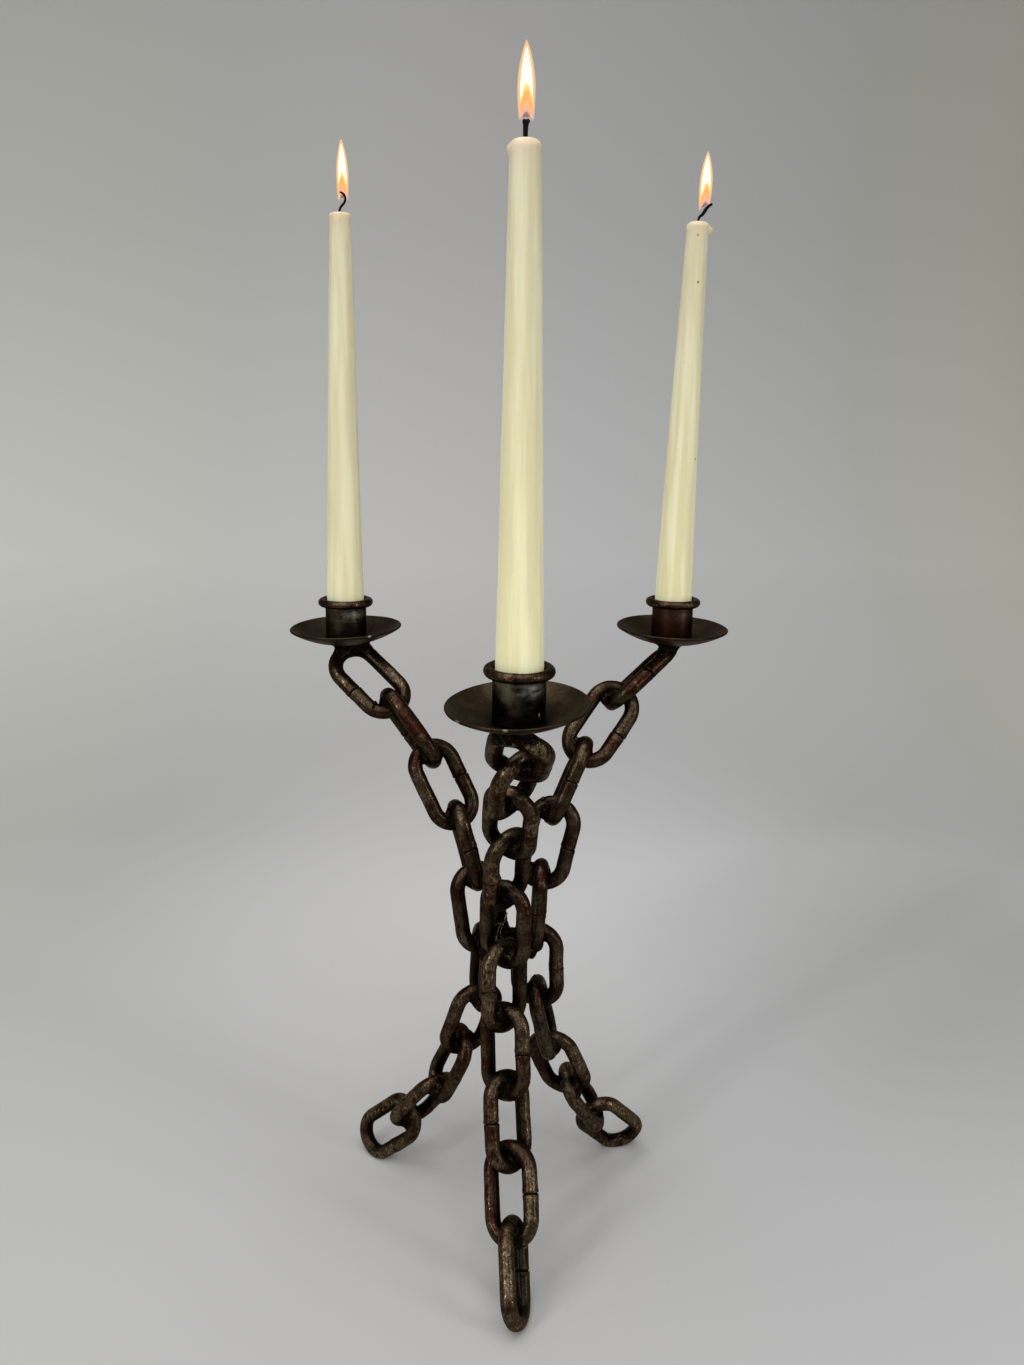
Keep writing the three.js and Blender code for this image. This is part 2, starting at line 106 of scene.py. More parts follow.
# Stray weld wire in the waist: the points that each strand passes through, in millimetres.
STRANDS = (
    ((-1.1, 36.0, 210.4), (-2.5, 33.0, 209.5), (-3.2, 31.5, 207.8)),
    ((-1.5, 35.0, 206.4), (-4.6, 30.0, 206.1), (-7.0, 28.5, 207.0), (-10.5, 22.0, 208.5)),
    ((-5.8, 29.5, 205.7), (-7.2, 28.5, 202.1), (-8.5, 26.5, 197.9), (-9.4, 23.0, 195.6)),
    ((-4.1, 30.5, 205.8), (-5.6, 29.0, 201.6), (-5.9, 28.5, 198.9), (-4.3, 32.0, 194.6)),
    ((-9.7, 23.0, 195.2), (-6.4, 27.0, 195.5), (-2.6, 33.0, 194.4)),
    ((-9.9, 25.0, 206.3), (-10.2, 26.0, 202.3), (-9.6, 23.0, 198.3)),
)

# Each pan with its socket and collar: how far the pan sags towards the camera, in degrees, how much more
# painted shade darkens it than the front one, how far the tube has browned, where the collar's ends meet,
# in degrees round it, and where the rim is nicked, in degrees, and by how much.
CUPS = {
    "front": {"sag": 1.5, "painted_shade_share": 0.0, "rust": 0.0, "joint": -99, "nicks": ((-146, 1.3), (-103, 0.45), (18, 0.9))},
    "left": {"sag": 0.0, "painted_shade_share": 0.32, "rust": 0.35, "joint": 60, "nicks": ((-60, 0.9), (140, 1.1))},
    "right": {"sag": 0.0, "painted_shade_share": 0.24, "rust": 0.95, "joint": 120, "nicks": ((-151, 0.5), (30, 1.0))},
}

# Each candle: how far its tip leans to the right, how far it has burnt below the solid model's, its
# width just under the shoulder and the height of the shoulder, in millimetres, and how much painted light from below
# brightens its lower wax.
# Then its drips and dents: turn round it in degrees, drop below the tip, how far the wax stands out, its
# width and its height, in millimetres.
CANDLES = {
    "front": {
        "lean": -1.1, "burnt": 0.0, "tip": 14.0, "shoulder": 4.0, "full": 1.0,
        "drips": ((178, 3.3, 1.05, 2.6, 2.0), (20, 1.2, 0.25, 2.5, 1.6), (-62, 42, -0.35, 1.1, 1.6)),
    },
    "left": {
        "lean": 2.2, "burnt": 0.0, "tip": 12.9, "shoulder": 1.4, "full": 0.65,
        "drips": ((-170, 1.6, 0.2, 2.4, 1.4), (-40, 19, -0.3, 0.9, 1.2)),
    },
    "right": {
        "lean": 3.2, "burnt": 1.6, "tip": 12.9, "shoulder": 3.2, "full": 0.8,
        "drips": ((2, 4.4, 3.1, 1.9, 1.9), (176, 2.4, 0.45, 2.2, 1.5), (-20, 1.5, 0.4, 3.0, 1.4)),
    },
}

# Points that each burnt wick passes through: how far to the right of the candle's axis and how far
# above its tip, in millimetres, and how thick the cord is there.
WICKS = {
    "front": ((0, -1, 1.9), (-0.1, 1.5, 2.1), (-0.1, 3.5, 2.2), (-0.05, 5.2, 2.4), (0, 6.6, 2.9), (0, 7.5, 2.1)),
    "left": (
        (-0.5, -1, 1.2), (-0.4, 0.8, 1.3), (0.2, 2.8, 1.4), (1.6, 4.4, 1.4), (2.9, 6.0, 1.4), (3.4, 8.2, 1.4),
        (2.3, 10.0, 1.3), (0.4, 10.9, 1.1),
    ),
    "right": (
        (0, -1, 1.3), (0.5, 2.4, 1.5), (2.3, 4.0, 1.9), (3.5, 5.8, 2.0), (4.8, 7.8, 1.9), (6.3, 9.0, 1.6),
        (7.4, 9.5, 1.3),
    ),
}

# Each flame, in millimetres: its foot and tip to the right of the candle's axis, their heights above the
# candle and the greatest width. Then how steeply its foot slants, and how late it bends to the tip.
FLAMES = {
    "front": {"foot": 0.1, "tip": -0.2, "rise": 7.6, "height": 38.1, "width": 7.4, "slant": 0.0, "late": 1.3},
    "left": {"foot": 1.8, "tip": 1.4, "rise": 7.4, "height": 40.4, "width": 6.8, "slant": 0.05, "late": 2.5},
    "right": {"foot": 3.4, "tip": 3.9, "rise": 8.2, "height": 38.8, "width": 7.3, "slant": 0.6, "late": 0.9},
}


def linear(code):
    """The linear RGBA colour of an sRGB hex code such as #33281C."""
    channels = [int(code[i : i + 2], 16) / 255 for i in (1, 3, 5)]
    return tuple(c / 12.92 if c <= 0.04045 else ((c + 0.055) / 1.055) ** 2.4 for c in channels) + (1.0,)


# Settings that a user can change in the panel. Lengths are in metres.


def length_setting(name, text, default, low=0.0, high=1.0):
    return FloatProperty(
        name=name, description=text, default=default, min=low, max=high, subtype="DISTANCE", unit="LENGTH",
        precision=5,
    )


def colour_setting(name, text, code):
    return FloatVectorProperty(
        name=name, description=text, default=linear(code), size=4, min=0.0, max=1.0, subtype="COLOR"
    )


def angle_setting(name, text, degrees):
    default = math.radians(degrees)
    return FloatProperty(name=name, description=text, default=default, subtype="ANGLE", unit="ROTATION")


def power_setting(name, text, watts):
    return FloatProperty(name=name, description=text, default=watts, min=0, subtype="POWER", unit="POWER")


class CandelabraChainSettings(PropertyGroup):
    bar: length_setting("Bar", "Thickness of the round bar that the links are bent from", 0.0095, 0.002, 0.03)
    sides: IntProperty(name="Sides", description="Faces round the bar", default=28, min=8, max=64)
    bend_steps: IntProperty(name="Bend steps", description="Faces round each bend", default=26, min=6, max=64)
    seam_depth: length_setting("Seam depth", "Depth of the open crack at a butt seam", 0.001, 0, 0.003)
    seam_step: length_setting("Seam step", "How far the two bar ends miss each other at a seam", 0.00045, 0, 0.002)
    hammering: length_setting("Hammering", "Depth of the dents left by forging", 0.00011, 0, 0.001)
    waviness: length_setting("Waviness", "How far a bar wanders from its true line", 0.00028, 0, 0.002)
    # Black of the soot in the seams, also painted as shade in the crossings, on the inner sides and round the waist.
    soot: colour_setting("Soot", "Black patina in the crossings, the seams and the inner sides", "#060301")
    red_brown: colour_setting("Red brown", "Reddish brown of the thicker patina", "#32180D")
    olive: colour_setting("Olive brown", "Olive brown of the thinner patina", "#413626")
    rubbed: colour_setting("Rubbed patina", "Tan where hands rub the patina thin", "#625341")
    bronze: colour_setting("Worn bronze", "Bright flecks where the bar is worn", "#A28C64")


class CandelabraWeldSettings(PropertyGroup):
    crossing_blend: length_setting("Crossing bead", "How far a bead fills in between crossed bars", 0.0072, 0.001, 0.02)
    pan_blend: length_setting("Pan weld", "How far the weld fills in between a link and its pan", 0.0085, 0.001, 0.02)
    waist_blend: length_setting("Waist weld", "How far the waist welds fill in between the chains", 0.01, 0.001, 0.02)
    lumps: length_setting("Lumps", "Height of the lumps on a weld", 0.00042, 0, 0.003)
    scale_colour: colour_setting("Weld scale", "Dark scale on the welds", "#080504")
    ridge_colour: colour_setting("Weld ridges", "Rubbed ridges of the welds", "#5A4C3A")


class CandelabraCupSettings(PropertyGroup):
    pan_wall: length_setting("Pan wall", "Thickness of the drip pans", 0.0015, 0.0005, 0.005)
    rim_roll: length_setting("Rim roll", "How far a hammered rim spreads past the solid model's", 0.0004, 0, 0.002)
    rim_waver: length_setting("Rim waver", "How far a pan's rim wavers from a true circle", 0.00022, 0, 0.002)
    socket_wall: length_setting("Socket wall", "Thickness of the socket tubes", 0.0009, 0.0003, 0.003)
    socket_swell: length_setting("Socket swell", "How far a tube swells past the solid model's", 0.00035, 0, 0.001)
    collar_bar: length_setting("Collar bar", "Thickness of the bar rolled into the collars", 0.0052, 0.001, 0.01)
    pan_dark: colour_setting("Pan patina", "Dark brown of the drip pans", "#261E14")
    pan_olive: colour_setting("Pan olive", "Olive brown rubbed into the drip pans", "#43392A")
    bare_steel: colour_setting("Bare steel", "Steel that shows at nicks in a rim", "#B5AFA4")
    socket_black: colour_setting("Socket black", "Black of the socket tubes", "#030202")
    socket_olive: colour_setting("Socket olive", "Olive brown cloud on the socket tubes", "#4A432E")
    socket_rust: colour_setting("Socket rust", "Reddish brown of the right socket tube", "#3F2419")
    # Grey painted as a sheen near the collars.
    socket_grey: colour_setting("Socket grey", "Grey sheen near the collars", "#A19F97")


class CandelabraCandleSettings(PropertyGroup):
    swell: length_setting("Swell", "How far a candle swells above the end cut to fit its socket", 0.0003, 0, 0.001)
    wax: colour_setting("Wax", "Cream wax", "#FAF4CE")
    wax_shade: colour_setting("Wax shade", "Deeper wax in the soft streaks", "#EEE5BA")
    # A warm tint painted at the tip for the flame's light.
    wax_glow: colour_setting("Wax glow", "Warm wax that the flame shines through", "#C4B09A")
    char: colour_setting("Char", "Burnt cord of the wick", "#020202")
    flame_white: colour_setting("Flame core", "Brightest part of the flame", "#FFFEEC")
    flame_orange: colour_setting("Flame orange", "Orange band low in the flame", "#FF7438")
    flame_edge: colour_setting("Flame edge", "Peach edge of the flame", "#FBC990")


class CandelabraStageSettings(PropertyGroup):
    paper: colour_setting("Paper", "Pale grey paper that the candelabra stands on", "#BFBFBF")
    # Painted light: palest where the paper bends up.
    paper_bend_painted_light: colour_setting("Paper bend", "Palest grey where the paper bends up", "#D0D0D0")
    # Painted light: a pool just behind the feet.
    paper_painted_light_pool: colour_setting("Paper behind", "Palest grey of the paper just behind the feet", "#DFDFE0")
    # Painted shade up the wall, behind the flames.
    paper_top_painted_shade: colour_setting("Paper above", "Darker grey of the paper behind the flames", "#AEAEAE")
    eye: FloatVectorProperty(
        name="Camera", description="Place of the camera", default=(-0.03487, -0.59093, 0.52051), size=3,
        subtype="TRANSLATION", unit="LENGTH",
    )
    yaw: angle_setting("Camera yaw", "How far the camera is turned to the right", 3.15)
    pitch: angle_setting("Camera pitch", "How far the camera looks down", 14.09)
    roll: angle_setting("Camera roll", "How far the camera is tilted", -0.85)
    lens: FloatProperty(
        name="Lens", description="Focal length in millimetres", default=28.137, min=8, max=200,
        subtype="DISTANCE_CAMERA",
    )
    top_power: power_setting("Top light", "Power of the wide soft light overhead", 36)
    left_power: power_setting("Left light", "Power of the tall strip light at the left", 10)
    right_power: power_setting("Right light", "Power of the tall strip light at the right", 8)
    front_power: power_setting("Front light", "Power of the small light over the camera", 10)
    sky: FloatProperty(name="Surround", description="Strength of the even light all round", default=0.24, min=0, max=2)


class CandelabraSettings(PropertyGroup):
    chain: PointerProperty(type=CandelabraChainSettings)
    weld: PointerProperty(type=CandelabraWeldSettings)
    cup: PointerProperty(type=CandelabraCupSettings)
    candle: PointerProperty(type=CandelabraCandleSettings)
    stage: PointerProperty(type=CandelabraStageSettings)


def settings():
    """The settings as they stand in the panel."""
    return bpy.context.scene.candelabra


# Materials


def add_node(tree, kind, inputs=None, stops=None, **options):
    """Adds a node with its options. An input takes a value, or the output socket that feeds it."""
    node = tree.nodes.new(kind)
    for key, value in options.items():
        setattr(node, key, value)
    for key, value in (inputs or {}).items():
        if isinstance(value, bpy.types.NodeSocket):
            tree.links.new(value, node.inputs[key])
        else:
            node.inputs[key].default_value = value
    if stops:
        elements = node.color_ramp.elements
        while len(elements) < len(stops):
            elements.new(0.5)
        for element, (place, colour) in zip(elements, stops):
            element.position = place
            element.color = colour
    return node


class Look:
    """A new node material. Most methods add one node and give the output that is used of it."""

    def __init__(self, name):
        self.material = bpy.data.materials.new(name)
        self.material.use_nodes = True
        self.tree = self.material.node_tree
        self.tree.nodes.clear()
        self.place = self.add("ShaderNodeTexCoord", "Object")

    def add(self, kind, output=0, inputs=None, stops=None, **options):
        return add_node(self.tree, kind, inputs, stops, **options).outputs[output]

    def attribute(self, name):
        return self.add("ShaderNodeAttribute", "Fac", attribute_name=name)

    def noise(self, size, detail=2.0, roughness=0.5, place=None):
        """Noise whose features are that many millimetres across."""
        place = self.place if place is None else place
        inputs = {"Vector": place, "Scale": 1000 / size, "Detail": detail, "Roughness": roughness}
        return self.add("ShaderNodeTexNoise", "Fac", inputs)

    def stretch(self, *scale):
        return self.add("ShaderNodeMapping", 0, {"Vector": self.place, "Scale": scale})

    def rescale(self, value, low, high, first, last, **options):
        """Takes a value between low and high to one between first and last."""
        inputs = {"Value": value, "From Min": low, "From Max": high, "To Min": first, "To Max": last}
        return self.add("ShaderNodeMapRange", 0, inputs, **options)

    def maths(self, operation, *values, **options):
        return self.add("ShaderNodeMath", 0, dict(enumerate(values)), operation=operation, **options)

    def ramp(self, value, *stops):
        stops = [(place, linear(colour) if isinstance(colour, str) else colour) for place, colour in stops]
        return self.add("ShaderNodeValToRGB", 0, {0: value}, stops)

    def mix(self, share, first, second, blend="MIX"):
        return self.add("ShaderNodeMix", 2, {0: share, 6: first, 7: second}, data_type="RGBA", blend_type=blend)

    def bump(self, height, strength, distance, **inputs):
        return self.add("ShaderNodeBump", 0, {"Height": height, "Strength": strength, "Distance": distance, **inputs})

    def finish(self, surface):
        add_node(self.tree, "ShaderNodeOutputMaterial", {"Surface": surface})
        return self.material

    def principled(self, inputs):
        return self.finish(self.add("ShaderNodeBsdfPrincipled", 0, inputs))

    def steel(self, colour, roughness, normal, tint, coat, coat_roughness):
        """Steel whose oxide dulls its reflections, under a thin coat of wax."""
        return self.principled({
            "Base Color": colour, "Metallic": 0.95, "Roughness": roughness, "Normal": normal,
            "Specular Tint": linear(tint), "Coat Weight": coat, "Coat Roughness": coat_roughness,
        })


def waxed_steel():
    """Mild steel bar with a rubbed brown patina under wax."""
    found = bpy.data.materials.get("waxed_mild_steel_patina")
    if found:
        return found
    chain = settings().chain
    # Hot-rolled mild steel, browned and waxed: reddish to olive brown with black pits, rubbed tan and
    # bronze on the crowns of the bar, with broken streaks of gloss along it. Black soot lies in the seams, and painted
    # shade blacks out the crossings, the inner sides and the waist.
    look = Look("waxed_mild_steel_patina")
    wear = look.attribute("wear")
    # The patina turns from red to olive over about 18 mm, mottled down to 1 mm. Cloudy rubbing is 6 mm
    # across. Pits and flecks are 1.2 mm across and twice as long, drawn out upright as the bar was rubbed.
    hue = look.noise(18, 6, 0.66)
    cloud = look.noise(6, 5, 0.7)
    pits = look.noise(1.2, 3, 0.6, look.stretch(1, 1, 0.45))
    colour = look.mix(look.rescale(hue, 0.43, 0.57, 0, 1), chain.red_brown, chain.olive)
    rubbing = look.rescale(look.maths("MULTIPLY_ADD", wear, 0.1, cloud), 0.47, 0.66, 0, 0.85)
    colour = look.mix(rubbing, colour, chain.rubbed)
    flecks = look.rescale(look.maths("MULTIPLY_ADD", wear, 0.09, pits), 0.61, 0.74, 0, 0.75)
    colour = look.mix(flecks, colour, chain.bronze)
    pitting = look.rescale(pits, 0.46, 0.36, 0, 0.9)
    # Black pits, soot in the seams, and painted shade in the crossings, on the inner sides and round the waist.
    dark = look.maths("MAXIMUM", look.attribute("soot"), pitting, use_clamp=True)
    # The pits break the gloss up, and forging dents 4 mm across bend it.
    gloss = look.rescale(pits, 0.35, 0.65, 0.44, 0.23)
    bump = look.bump(look.noise(4), 0.6, 0.0007, Normal=look.bump(pits, 0.5, 0.00035))
    return look.steel(look.mix(dark, colour, chain.soot), gloss, bump, "#B8B2AC", coat=0.05, coat_roughness=0.14)


def weld_scale():
    """Weld metal under dark scale, rubbed on its ridges."""
    found = bpy.data.materials.get("weld_metal_scale")
    if found:
        return found
    weld = settings().weld
    # Arc-welded mild steel: lumpy, with black scale between rubbed ridges. The lumps are 2 mm across.
    look = Look("weld_metal_scale")
    lumps = look.noise(2, 4, 0.65)
    colour = look.ramp(lumps, (0.45, weld.scale_colour), (0.58, "#1F130B"), (0.82, weld.ridge_colour))
    gloss = look.rescale(lumps, 0.3, 0.7, 0.6, 0.4)
    return look.steel(colour, gloss, look.bump(lumps, 0.6, 0.0006), "#8C8279", coat=0.04, coat_roughness=0.25)


def pan_steel():
    """Pressed sheet steel with an olive brown patina, nicked at the rim."""
    cup = settings().cup
    # Pressed mild steel sheet, browned and waxed: cloudy olive and dark brown with a fine fleck, reddish
    # underneath, and a bright nick or two in the rim. Painted shade darkens the underside, the rim, the dish round the
    # socket and the rear pans. Clouds are 14 mm across, flecks 1.4 mm.
    look = Look("patinated_sheet_steel")
    speck = look.noise(1.4, 3, 0.7)
    cloud = look.noise(14, 5, 0.6)
    colour = look.ramp(cloud, (0.34, cup.pan_dark), (0.48, "#34291C"), (0.64, cup.pan_olive))
    colour = look.mix(look.rescale(speck, 0.52, 0.72, 0, 0.4), colour, linear("#5E5238"))
    # The underside is reddish, and painted darker as shade against the floor's light.
    colour = look.mix(look.attribute("under"), colour, linear("#3A2115"))
    # Painted shade round the socket, along the rim and all over the rear pans.
    colour = look.mix(look.attribute("soot"), colour, linear("#0A0705"))
    colour = look.mix(look.attribute("bare"), colour, cup.bare_steel)
    gloss = look.rescale(speck, 0.3, 0.7, 0.56, 0.38)
    return look.steel(colour, gloss, look.bump(speck, 0.4, 0.0003), "#C6C0B8", coat=0.06, coat_roughness=0.3)


def socket_steel():
    """Blackened steel tube with rubbing marks round it."""
    cup = settings().cup
    # Blackened mild steel tube: darker towards the bottom, clouded olive brown, with a grey sheen painted in
    # patches under the collar. One of the three has gone reddish brown instead.
    look = Look("blackened_steel_tube")
    # Rubbing marks 1.6 mm apart up the tube and 5 mm long round it, in clouds 8 mm across.
    marks = look.noise(1.6, 3, 0.6, look.stretch(0.32, 0.32, 1))
    cloud = look.noise(8, 3, 0.55)
    hazed = look.maths("MULTIPLY_ADD", look.attribute("haze"), 0.35, cloud)
    colour = look.ramp(hazed, (0.48, cup.socket_black), (0.8, cup.socket_olive))
    colour = look.mix(look.attribute("rust"), colour, cup.socket_rust)
    # The painted sheen shows in the marks, in patches.
    painted_sheen_patches = look.rescale(look.maths("MULTIPLY", marks, cloud), 0.13, 0.33, 0, 1)
    sheen = look.maths("MULTIPLY", painted_sheen_patches, look.attribute("sheen"), use_clamp=True)
    colour = look.mix(sheen, colour, cup.socket_grey)
    return look.steel(colour, 0.34, look.bump(marks, 0.4, 0.0003), "#8C8279", coat=0.06, coat_roughness=0.2)


def candle_wax():
    """Cream candle wax, with painted flame light warming its tip."""
    candle = settings().candle
    # Dipped stearin and paraffin: a soft cream that light sinks into, with faint streaks down its
    # length, painted flame light warming and dimming the tip, painted light from below on the lower wax, and a stray
    # speck of soot.
    look = Look("cream_candle_wax")
    # Streaks 5 mm apart round the candle, and 80 mm long.
    streak = look.noise(5, 2, 0.5, look.stretch(1, 1, 0.06))
    colour = look.ramp(streak, (0.4, candle.wax_shade), (0.6, candle.wax))
    # Painted light from below: the wax is paler towards the foot and greyer towards the tip.
    painted_light_colour = look.mix(look.attribute("thick"), linear("#D2D3D9"), linear("#FBFDFA"))
    colour = look.mix(1.0, colour, painted_light_colour, "MULTIPLY")
    # Specks 1 mm across, some 17 mm apart.
    scatter = look.add("ShaderNodeTexVoronoi", "Distance", {"Vector": look.place, "Scale": 1000 / 17})
    colour = look.mix(look.rescale(scatter, 0.05, 0.03, 0, 0.85), colour, linear("#3A3026"))
    # Soft ripples of the dipping, 3 mm across.
    ripples = look.noise(3)
    # The flame's light is painted into the colour near the tip.
    return look.principled({
        "Base Color": look.mix(look.attribute("glow"), colour, candle.wax_glow),
        "Roughness": look.rescale(streak, 0.3, 0.7, 0.4, 0.5), "Normal": look.bump(ripples, 0.2, 0.0003), "IOR": 1.44,
        "Subsurface Weight": 0.75, "Subsurface Radius": (1.0, 0.75, 0.42), "Subsurface Scale": 0.009,
    })


def charred_cotton():
    """Burnt cotton cord."""
    candle = settings().candle
    # Charred cotton: soft black, with fibres 0.6 mm apart that can just be seen.
    look = Look("charred_cotton_cord")
    fibre = look.noise(0.6, 3)
    return look.principled({
        "Base Color": look.ramp(fibre, (0.4, candle.char), (0.75, "#0C0908")), "Roughness": 0.85,
        "Normal": look.bump(fibre, 0.8, 0.0003), "Specular IOR Level": 0.15,
    })


def flame_gas(name, stops, clearness, strength):
    """Glowing gas. Its colour and clearness follow the height in the flame."""
    look = Look(name)
    # Faint flicker, 3 mm across.
    height = look.maths("MULTIPLY_ADD", look.noise(3, 1), 0.06, look.attribute("height"))
    clear = look.ramp(height, *((place, (value, value, value, 1)) for place, value in clearness))
    glow = look.add("ShaderNodeEmission", 0, {"Color": look.ramp(height, *stops), "Strength": strength})
    gap = look.add("ShaderNodeBsdfTransparent")
    return look.finish(look.add("ShaderNodeMixShader", 0, {0: clear, 1: glow, 2: gap}))


def studio_paper():
    """Pale seamless paper, with painted light and shade: darker towards the top and the right of the sweep."""
    stage = settings().stage
    # Matt paper roll, with a faint tooth 1.5 mm across.
    look = Look("matt_studio_paper")
    x, _, z = add_node(look.tree, "ShaderNodeSeparateXYZ", {0: look.place}).outputs

    def patch(place, reach, share):
        """The share of a soft round patch, which falls to nothing that many metres from its middle."""
        moved = look.add("ShaderNodeMapping", 0, {"Vector": look.place, "Location": place})
        away = look.add("ShaderNodeVectorMath", "Value", {0: moved}, operation="LENGTH")
        return look.rescale(away, 0.05, reach, share, 0, interpolation_type="SMOOTHSTEP")

    # Painted light falloff: palest where the paper bends up and darker up the wall.
    rise = look.rescale(z, 0, 1.3, 0, 1)
    colour = look.ramp(rise, (0.0, stage.paper), (0.2, stage.paper_bend_painted_light), (1.0, stage.paper_top_painted_shade))
    # A painted pool of light some 0.5 m across, just behind the feet.
    colour = look.mix(patch((-0.06, -0.55, 0), 0.55, 0.8), colour, stage.paper_painted_light_pool)
    # Painted shade towards the right, weaker on the floor than up the wall.
    side = look.maths("MULTIPLY", look.rescale(x, -0.2, 1.4, 0, 0.48), look.rescale(z, 0, 0.2, 0.3, 1))
    # A painted shadow some 0.4 m across, on the right.
    painted_shade = look.maths("MAXIMUM", side, patch((-0.42, -0.31, 0), 0.42, 0.42))
    colour = look.mix(painted_shade, colour, linear("#969694"))
    # Painted light from side to side: a warm grey, a little brighter at the far edges, to a faint lilac in the middle
    # and back.
    tint = look.ramp(
        look.rescale(x, -1.1, 1.1, 0, 1), (0.02, "#FFFFF7"), (0.18, "#F2F2EB"), (0.3, "#E9E9E4"), (0.46, "#E9E8E6"),
        (0.6, "#E9E8E9"), (0.74, "#EAEAE9"), (0.84, "#ECECE6"), (0.96, "#F8F8EA"),
    )
    return look.principled({
        "Base Color": look.mix(1.0, colour, tint, "MULTIPLY"), "Roughness": 0.9,
        "Normal": look.bump(look.noise(1.5), 0.05, 0.0001),
    })


# Shapes


def mesh_object(name, bm, material):
    """Makes the object of a finished bmesh, shaded smooth."""
    mesh = bpy.data.meshes.new(name)
    bm.to_mesh(mesh)
    bm.free()
    mesh.polygons.foreach_set("use_smooth", [True] * len(mesh.polygons))
    mesh.materials.append(material)
    made = bpy.data.objects.new(name, mesh)
    bpy.context.scene.collection.objects.link(made)
    return made


def add_piece(name, bm, material, body, replaced=()):
    """Makes the object of a finished bmesh, ties it to its body and hides the nodes it stands for."""
    piece = mesh_object(name, bm, material)
    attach(piece, body)
    if replaced:
        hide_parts(*replaced)


def surface_axes(node):
    """Centre of a CAD node's surface, and its axes from the longest to the shortest."""
    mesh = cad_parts[node].data
    mesh.calc_loop_triangles()
    points = np.array([v.co for v in mesh.vertices], float)
    corners = points[np.array([t.vertices for t in mesh.loop_triangles])]
    areas = np.array([t.area for t in mesh.loop_triangles])
    centre = (corners.mean(axis=1) * areas[:, None]).sum(axis=0) / areas.sum()
    corners = corners - centre
    middles = corners.mean(axis=1)
    spread = np.einsum("n,nki,nkj->ij", areas, corners, corners) + 9 * np.einsum("n,ni,nj->ij", areas, middles, middles)
    axes = np.linalg.eigh(spread)[1]
    return centre, [axes[:, k] for k in (2, 1, 0)], points - centre


def ripple(point, size, seed):
    """Smooth noise from -1 to 1 at a point, whose features have that size in metres."""
    return noise.noise(Vector(point) / size + Vector((seed, 2.7 * seed, -1.3 * seed)))


def bell(distance, width):
    """One at no distance, and next to nothing two widths away."""
    return math.exp(-((distance / width) ** 2))


def turn_from(around, degrees):
    """The angle from a bearing in degrees to another in radians, the short way round."""
    return math.remainder(around - math.radians(degrees), FULL_TURN)


def float_layers(bm, *names):
    return [bm.verts.layers.float.new(name) for name in names]


def ring_edges(verts):
    return list({edge for vert in verts for edge in vert.link_edges})


def extrude_ring(bm, edges):
    """Extrudes a ring of edges and gives the new ring's vertices and edges."""
    geometry = bmesh.ops.extrude_edge_only(bm, edges=edges)["geom"]
    verts = [g for g in geometry if isinstance(g, bmesh.types.BMVert)]
    new = set(verts)
    return verts, [g for g in geometry if isinstance(g, bmesh.types.BMEdge) and set(g.verts) <= new]


def cut_end(bm, centre, bar, sides):
    """The round end of a bar that runs along y: its vertices and edges."""
    place = Matrix.Translation(centre) @ Matrix.Rotation(math.pi / 2, 4, "X")
    verts = bmesh.ops.create_circle(bm, segments=sides, radius=bar / 2, matrix=place)["verts"]
    return verts, ring_edges(verts)


def close_up(bm, distance=1e-6):
    """Merges doubles and turns every face outwards."""
    bmesh.ops.remove_doubles(bm, verts=bm.verts, dist=distance)
    bmesh.ops.recalc_face_normals(bm, faces=bm.faces)


def spin_round(bm, verts, edges, steps):
    """Turns a section a full circle about z."""
    bmesh.ops.spin(bm, geom=verts + edges, axis=UP, angle=FULL_TURN, steps=steps, use_merge=True)
    close_up(bm)


def spin_profile(bm, points, steps, closed=False):
    """Turns a profile of (radius, height) points a full circle about z. The wall of a tube is a closed one."""
    verts = [bm.verts.new((radius, 0.0, height)) for radius, height in points]
    nexts = verts[1:] + verts[:1] if closed else verts[1:]
    spin_round(bm, verts, [bm.edges.new(pair) for pair in zip(verts, nexts)], steps)


def smooth_path(points, count):
    """Evenly spaced points on a smooth curve through the given ones, with that many steps between two."""
    points = [points[0], *points, points[-1]]
    line = []
    for spans in zip(points, points[1:], points[2:], points[3:]):
        for t in (i / count for i in range(count)):
            line.append([
                0.5 * (2 * q + (r - p) * t + (2 * p - 5 * q + 4 * r - s) * t * t + (3 * q - p - 3 * r + s) * t**3)
                for p, q, r, s in zip(*spans)
            ])
    return line + [list(points[-1])]


def sweep(bm, places, radii, sides):
    """A closed round cord through places, with its radius at each."""
    ring = bmesh.ops.create_circle(bm, segments=sides, radius=1.0)["verts"]
    edges = ring_edges(ring)
    flat = [vert.co.copy() for vert in ring]
    first = order = {vert: i for i, vert in enumerate(ring)}
    last = len(places) - 1
    for number, (place, radius) in enumerate(zip(places, radii)):
        if number:
            verts, edges = extrude_ring(bm, edges)
            homes = {v: next(e.other_vert(v) for e in v.link_edges if e.other_vert(v) in order) for v in verts}
            order = {vert: order[home] for vert, home in homes.items()}
        heading = places[min(number + 1, last)] - places[max(number - 1, 0)]
        turn = UP.rotation_difference(heading.normalized()).to_matrix()
        for vert, i in order.items():
            vert.co = place + turn @ (flat[i] * radius)
    for end in (first, order):
        bmesh.ops.contextual_create(bm, geom=list(end))
    bmesh.ops.recalc_face_normals(bm, faces=bm.faces)


